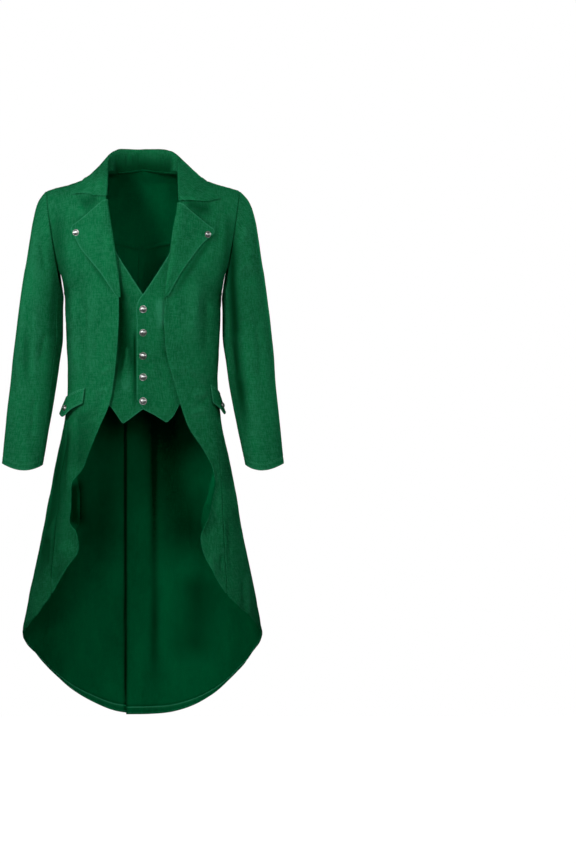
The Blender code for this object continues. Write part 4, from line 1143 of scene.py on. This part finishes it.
for table in (frontPieces, backPieces, yokePieces, sleevePieces, collarPieces, lapelPieces, vestPieces,
              flapPieces):
    for name, piece in table.items():
        makeSheet(name, piece)
print("stage: cloth made")


# The half belt, which lies on the backs and hangs a little loose between its buttons

belt = {
    "node": "back_belt", "columns": 58, "rows": 12, "facing": (0, 1, 0), "materials": cloth,
    "slot": "twill", "wall": clothSizes["doubleWall"], "reverse": False, "bow": 3.2, "sag": 2.2,
    "borders": sewn("stitched", "stitched", "stitched", "stitched"),
}


def treeOf(mesh):
    return BVHTree.FromPolygons([v.co / mm for v in mesh.vertices], [p.vertices[:] for p in mesh.polygons])


def beltGrid():
    # Rays from behind find the band's surface, column by column, between its upper and its lower edge
    tree = treeOf(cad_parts[belt["node"]].data)
    columns = []
    low, high = [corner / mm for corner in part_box(belt["node"])]
    for x in np.linspace(high.x - 0.4, low.x + 0.4, belt["columns"]):
        hits = []
        for z in np.arange(low.z - 1, high.z + 1, 0.2):
            hit = tree.ray_cast(Vector((x, 150, z)), Vector((0, -1, 0)))
            if hit[0] is not None:
                hits.append(np.array(hit[0]) - np.array(hit[1]) * cadWall / 2)
        hits = np.array(hits)
        share = (np.linspace(0, 1, belt["rows"]) * (len(hits) - 1)).round().astype(int)
        columns.append(hits[share[::-1]])
    return np.array(columns).transpose(1, 0, 2)


belt["grid"] = beltGrid()
makeSheet("halfBelt", belt)
print("stage: belt made")


# Buttons: antique silver domes, modelled once at 16 mm and copied

button = {
    "radius": 8.0, "height": 4.6, "rim": 1.0, "sides": 32, "rimWidth": 0.9, "groove": 0.35,
    "domeTurns": (18, 34, 49, 62, 73, 82), "softEdge": 0.28, "darkRing": 1.7,
    "backInset": 5.9, "backDepth": 0.05,
}
armMiddle = 230


def modelButton():
    bpy.ops.object.select_all(action="DESELECT")
    bpy.ops.mesh.primitive_cylinder_add(vertices=button["sides"], radius=button["radius"] * mm,
                                        depth=button["rim"] * mm, location=(0, 0, button["rim"] / 2 * mm))
    made = bpy.context.active_object
    bpy.ops.object.mode_set(mode="EDIT")
    bpy.ops.mesh.select_mode(type="FACE")
    bpy.ops.mesh.select_all(action="DESELECT")
    work = bmesh.from_edit_mesh(made.data)
    work.faces.ensure_lookup_table()
    for face in work.faces:
        face.select_set(face.normal.z > 0.9)
    bmesh.update_edit_mesh(made.data)
    bpy.ops.mesh.inset(thickness=button["rimWidth"] * mm)
    bpy.ops.mesh.extrude_region_move(TRANSFORM_OT_translate={"value": (0, 0, -button["groove"] * mm)})
    top = button["height"] - button["rim"] + button["groove"]
    reached = 0.0
    for turn in button["domeTurns"]:
        wide = math.cos(math.radians(turn))
        rise = math.sin(math.radians(turn)) * top
        before = math.cos(math.radians(reached)) if reached else 1.0
        climbed = math.sin(math.radians(reached)) * top
        bpy.ops.mesh.extrude_region_move(TRANSFORM_OT_translate={"value": (0, 0, (rise - climbed) * mm)})
        bpy.ops.transform.resize(value=(wide / before, wide / before, 1))
        reached = turn
    bpy.ops.mesh.select_all(action="DESELECT")
    work = bmesh.from_edit_mesh(made.data)
    for face in work.faces:
        face.select_set(face.normal.z < -0.9)
    bmesh.update_edit_mesh(made.data)
    bpy.ops.mesh.inset(thickness=button["backInset"] * mm)
    bpy.ops.mesh.extrude_region_move(TRANSFORM_OT_translate={"value": (0, 0, -button["backDepth"] * mm)})
    bpy.ops.object.mode_set(mode="OBJECT")
    bevel = made.modifiers.new("softEdge", "BEVEL")
    bevel.width, bevel.segments, bevel.angle_limit = button["softEdge"] * mm, 2, math.radians(50)
    bpy.ops.object.modifier_apply(modifier="softEdge")
    bpy.ops.object.shade_smooth()
    for face in made.data.polygons:
        face.material_index = int(face.center.xy.length > (button["radius"] - button["darkRing"]) * mm)
    return made


metal, metalTree, metalShader = newMaterial("antiqueSilver", {
    "colour": (0.36, 0.38, 0.36), "roughness": 0.36, "metallic": 1.0, "specular": 0.5,
})
metalPlace = metalTree.nodes.new("ShaderNodeTexCoord").outputs["Object"]
patina = noiseNode(metalTree, metalPlace, 260.0, 4.0, 0.6)
scuffs = noiseNode(metalTree, metalPlace, 900.0, 2.0)
metalTree.links.new(mixColour(metalTree, mathNode(metalTree, "MULTIPLY_ADD", patina, 2.2, -0.6),
                              (0.62, 0.64, 0.62), (0.13, 0.14, 0.135)), metalShader.inputs["Base Color"])
metalTree.links.new(mathNode(metalTree, "MULTIPLY_ADD", patina, 0.3, 0.2), metalShader.inputs["Roughness"])
metalBump = metalTree.nodes.new("ShaderNodeBump")
metalBump.inputs["Strength"].default_value = 0.35
metalBump.inputs["Distance"].default_value = 0.0002
metalTree.links.new(scuffs, metalBump.inputs["Height"])
metalTree.links.new(metalBump.outputs[0], metalShader.inputs["Normal"])

tarnish, _, _ = newMaterial("tarnish", {
    "colour": (0.05, 0.055, 0.05), "roughness": 0.5, "metallic": 1.0, "specular": 0.5,
})


def placeButtons():
    master = modelButton()
    for node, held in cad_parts.items():
        if not node.startswith("button"):
            continue
        points = np.array([v.co[:] for v in held.data.vertices]) / mm
        centre = (points.max(axis=0) + points.min(axis=0)) / 2
        _, vectors = np.linalg.eigh(np.cov((np.unique(points.round(3), axis=0)).T))
        out = vectors[:, 0]
        if "cuff" in node:
            away = np.array([centre[0] - math.copysign(armMiddle, centre[0]), centre[1] + 5, 0])
        else:
            away = np.array([centre[0] * 0.4, centre[1], 0])
        if out @ away < 0:
            out = -out
        heights = points @ out
        flatPart = points[heights < heights.min() + 0.05]
        middle = (flatPart.max(axis=0) + flatPart.min(axis=0)) / 2
        across = np.linalg.norm(points - middle - np.outer(heights - heights.min(), out), axis=1).max()
        turn = Vector((0, 0, 1)).rotation_difference(Vector(out)).to_matrix().to_4x4()
        wide, tall = across / button["radius"], (heights.max() - heights.min()) / button["height"]
        place = Matrix.Translation(Vector(middle) * mm) @ turn @ Matrix.Diagonal((wide, wide, tall, 1))
        mesh = master.data.copy()
        mesh.transform(place)
        name = "".join(word.title() if k else word for k, word in enumerate(node.split("_")))
        mesh.name = name
        mesh.materials.clear()
        mesh.materials.append(metal)
        mesh.materials.append(tarnish)
        made = bpy.data.objects.new(name, mesh)
        bpy.context.scene.collection.objects.link(made)
        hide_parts(node)
        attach(made, "root")
    bpy.data.objects.remove(master)


placeButtons()
print("stage: buttons made")


def stitchLine(piece, rows, seen):
    # Rows of stitches between points of x and z, laid on the finished outer face of a piece
    tree = treeOf(finished[piece]["object"].data)
    for row in rows:
        (x0, z0), (x1, z1) = row
        path, tops = [], []
        for share in np.linspace(0, 1, 14):
            start = Vector((x0 + (x1 - x0) * share, 400.0 * seen, z0 + (z1 - z0) * share))
            spot, normal, _, _ = tree.ray_cast(start, Vector((0, -seen, 0)))
            if spot is not None:
                path.append(np.array(spot))
                tops.append(np.array(normal))
        if len(path) > 3:
            path, tops = np.array(path), np.array(tops)
            tops[tops[:, 1] * seen < 0] *= -1
            addStitches(piece, path + tops * 0.1, tops)


# The vent is held at its top by two rows sewn across it, joined at their ends
ventTack = [
    ((-1.5, -554.0), (-34.0, -559.5)),
    ((-1.5, -557.5), (-34.0, -563.0)),
    ((-34.0, -559.5), (-34.4, -563.0)),
]
stitchLine("backRight", ventTack, 1)

makeThreads(thread)


# Floor, lights and camera

stage = {
    "floorZ": -1.47,
    "floorSize": 7.0,
    # Name, place, aim, size in metres, watts and spread in degrees
    "lights": [
        ("key", (-1.5, -2.4, 0.75), (-0.04, 0, -0.2), 0.9, 2.7, 34),
        ("left", (-2.4, -1.0, 0.3), (-0.1, 0, -0.2), 0.8, 0.75, 34),
        ("right", (2.4, -1.2, 0.3), (0.1, 0, -0.25), 0.8, 0.65, 34),
        ("fill", (0.7, -4.2, 0.5), (0, 0, -0.25), 2.0, 3.0, 34),
        ("low", (-0.9, -3.0, -0.7), (0.06, 0.12, -1.08), 0.5, 0.4, 24),
        ("backKey", (1.5, 2.4, 0.85), (0.04, 0, -0.12), 0.5, 2.8, 32),
        ("backLeft", (2.4, 1.0, 0.3), (0.1, 0, -0.2), 0.8, 0.75, 34),
        ("backRight", (-2.4, 1.2, 0.3), (-0.1, 0, -0.25), 0.8, 0.65, 34),
        ("backFill", (-0.7, 4.2, 0.5), (0, 0, -0.16), 2.0, 2.7, 32),
    ],
    "world": 0.045,
    "camera": {"distance": 7.5, "height": -0.55, "lens": 142.0, "shift": 0.168},
}


def makeFloor():
    bpy.ops.object.select_all(action="DESELECT")
    bpy.ops.mesh.primitive_grid_add(x_subdivisions=14, y_subdivisions=14, size=stage["floorSize"],
                                    location=(0, 0, stage["floorZ"]))
    floor = bpy.context.active_object
    floor.name = "studioFloor"
    bpy.ops.object.transform_apply(location=True, rotation=True, scale=True)
    material, tree, shader = newMaterial("paleFloor", {"colour": (0.86, 0.86, 0.86), "roughness": 0.9,
                                                       "specular": 0.1})
    coordinates = tree.nodes.new("ShaderNodeTexCoord").outputs["Object"]
    faint = noiseNode(tree, coordinates, 3.0, 4.0)
    shades = mixColour(tree, faint, (0.84, 0.84, 0.84), (0.88, 0.88, 0.88))
    tree.links.new(shades, shader.inputs["Base Color"])
    # The floor looks white to the camera as a lit studio sweep does, and throws little light up
    glow = tree.nodes.new("ShaderNodeEmission")
    glow.inputs["Color"].default_value = (1, 1, 1, 1)
    rays, add = tree.nodes.new("ShaderNodeLightPath"), tree.nodes.new("ShaderNodeAddShader")
    tree.links.new(mathNode(tree, "MULTIPLY", rays.outputs["Is Camera Ray"], 0.97), glow.inputs["Strength"])
    tree.links.new(shader.outputs[0], add.inputs[0])
    tree.links.new(glow.outputs[0], add.inputs[1])
    tree.links.new(add.outputs[0], tree.nodes["Material Output"].inputs["Surface"])
    floor.data.materials.append(material)


def makeLights():
    for name, place, aimed, size, watts, spread in stage["lights"]:
        data = bpy.data.lights.new(name, "AREA")
        data.shape, data.size, data.energy = "DISK", size, watts
        data.spread = math.radians(spread)
        lamp = bpy.data.objects.new(name, data)
        bpy.context.scene.collection.objects.link(lamp)
        lamp.location = place
        aim = Vector(aimed) - Vector(place)
        lamp.rotation_euler = aim.to_track_quat("-Z", "Y").to_euler()
    world = bpy.data.worlds.new("studio")
    bpy.context.scene.world = world
    world.use_nodes = True
    tree = world.node_tree
    soft = tree.nodes["Background"]
    soft.inputs["Color"].default_value = (1, 1, 1, 1)
    soft.inputs["Strength"].default_value = stage["world"]
    seen = tree.nodes.new("ShaderNodeBackground")
    seen.inputs["Color"].default_value = (1, 1, 1, 1)
    rays, mix = tree.nodes.new("ShaderNodeLightPath"), tree.nodes.new("ShaderNodeMixShader")
    tree.links.new(rays.outputs["Is Camera Ray"], mix.inputs[0])
    tree.links.new(soft.outputs[0], mix.inputs[1])
    tree.links.new(seen.outputs[0], mix.inputs[2])
    tree.links.new(mix.outputs[0], tree.nodes["World Output"].inputs["Surface"])


def makeCamera():
    settings = stage["camera"]
    data = bpy.data.cameras.new("photoCamera")
    data.lens, data.sensor_width, data.sensor_fit = settings["lens"], 36.0, "AUTO"
    data.shift_x = settings["shift"]
    data.clip_end = 60.0
    camera = bpy.data.objects.new("photoCamera", data)
    bpy.context.scene.collection.objects.link(camera)
    camera.location = (0, -settings["distance"], settings["height"])
    camera.rotation_euler = (math.radians(90), 0, 0)
    bpy.context.scene.camera = camera


makeFloor()
makeLights()
makeCamera()
bpy.context.scene.view_settings.view_transform = "Standard"
print("stage: floor, lights and camera made")

bpy.context.view_layer.update()
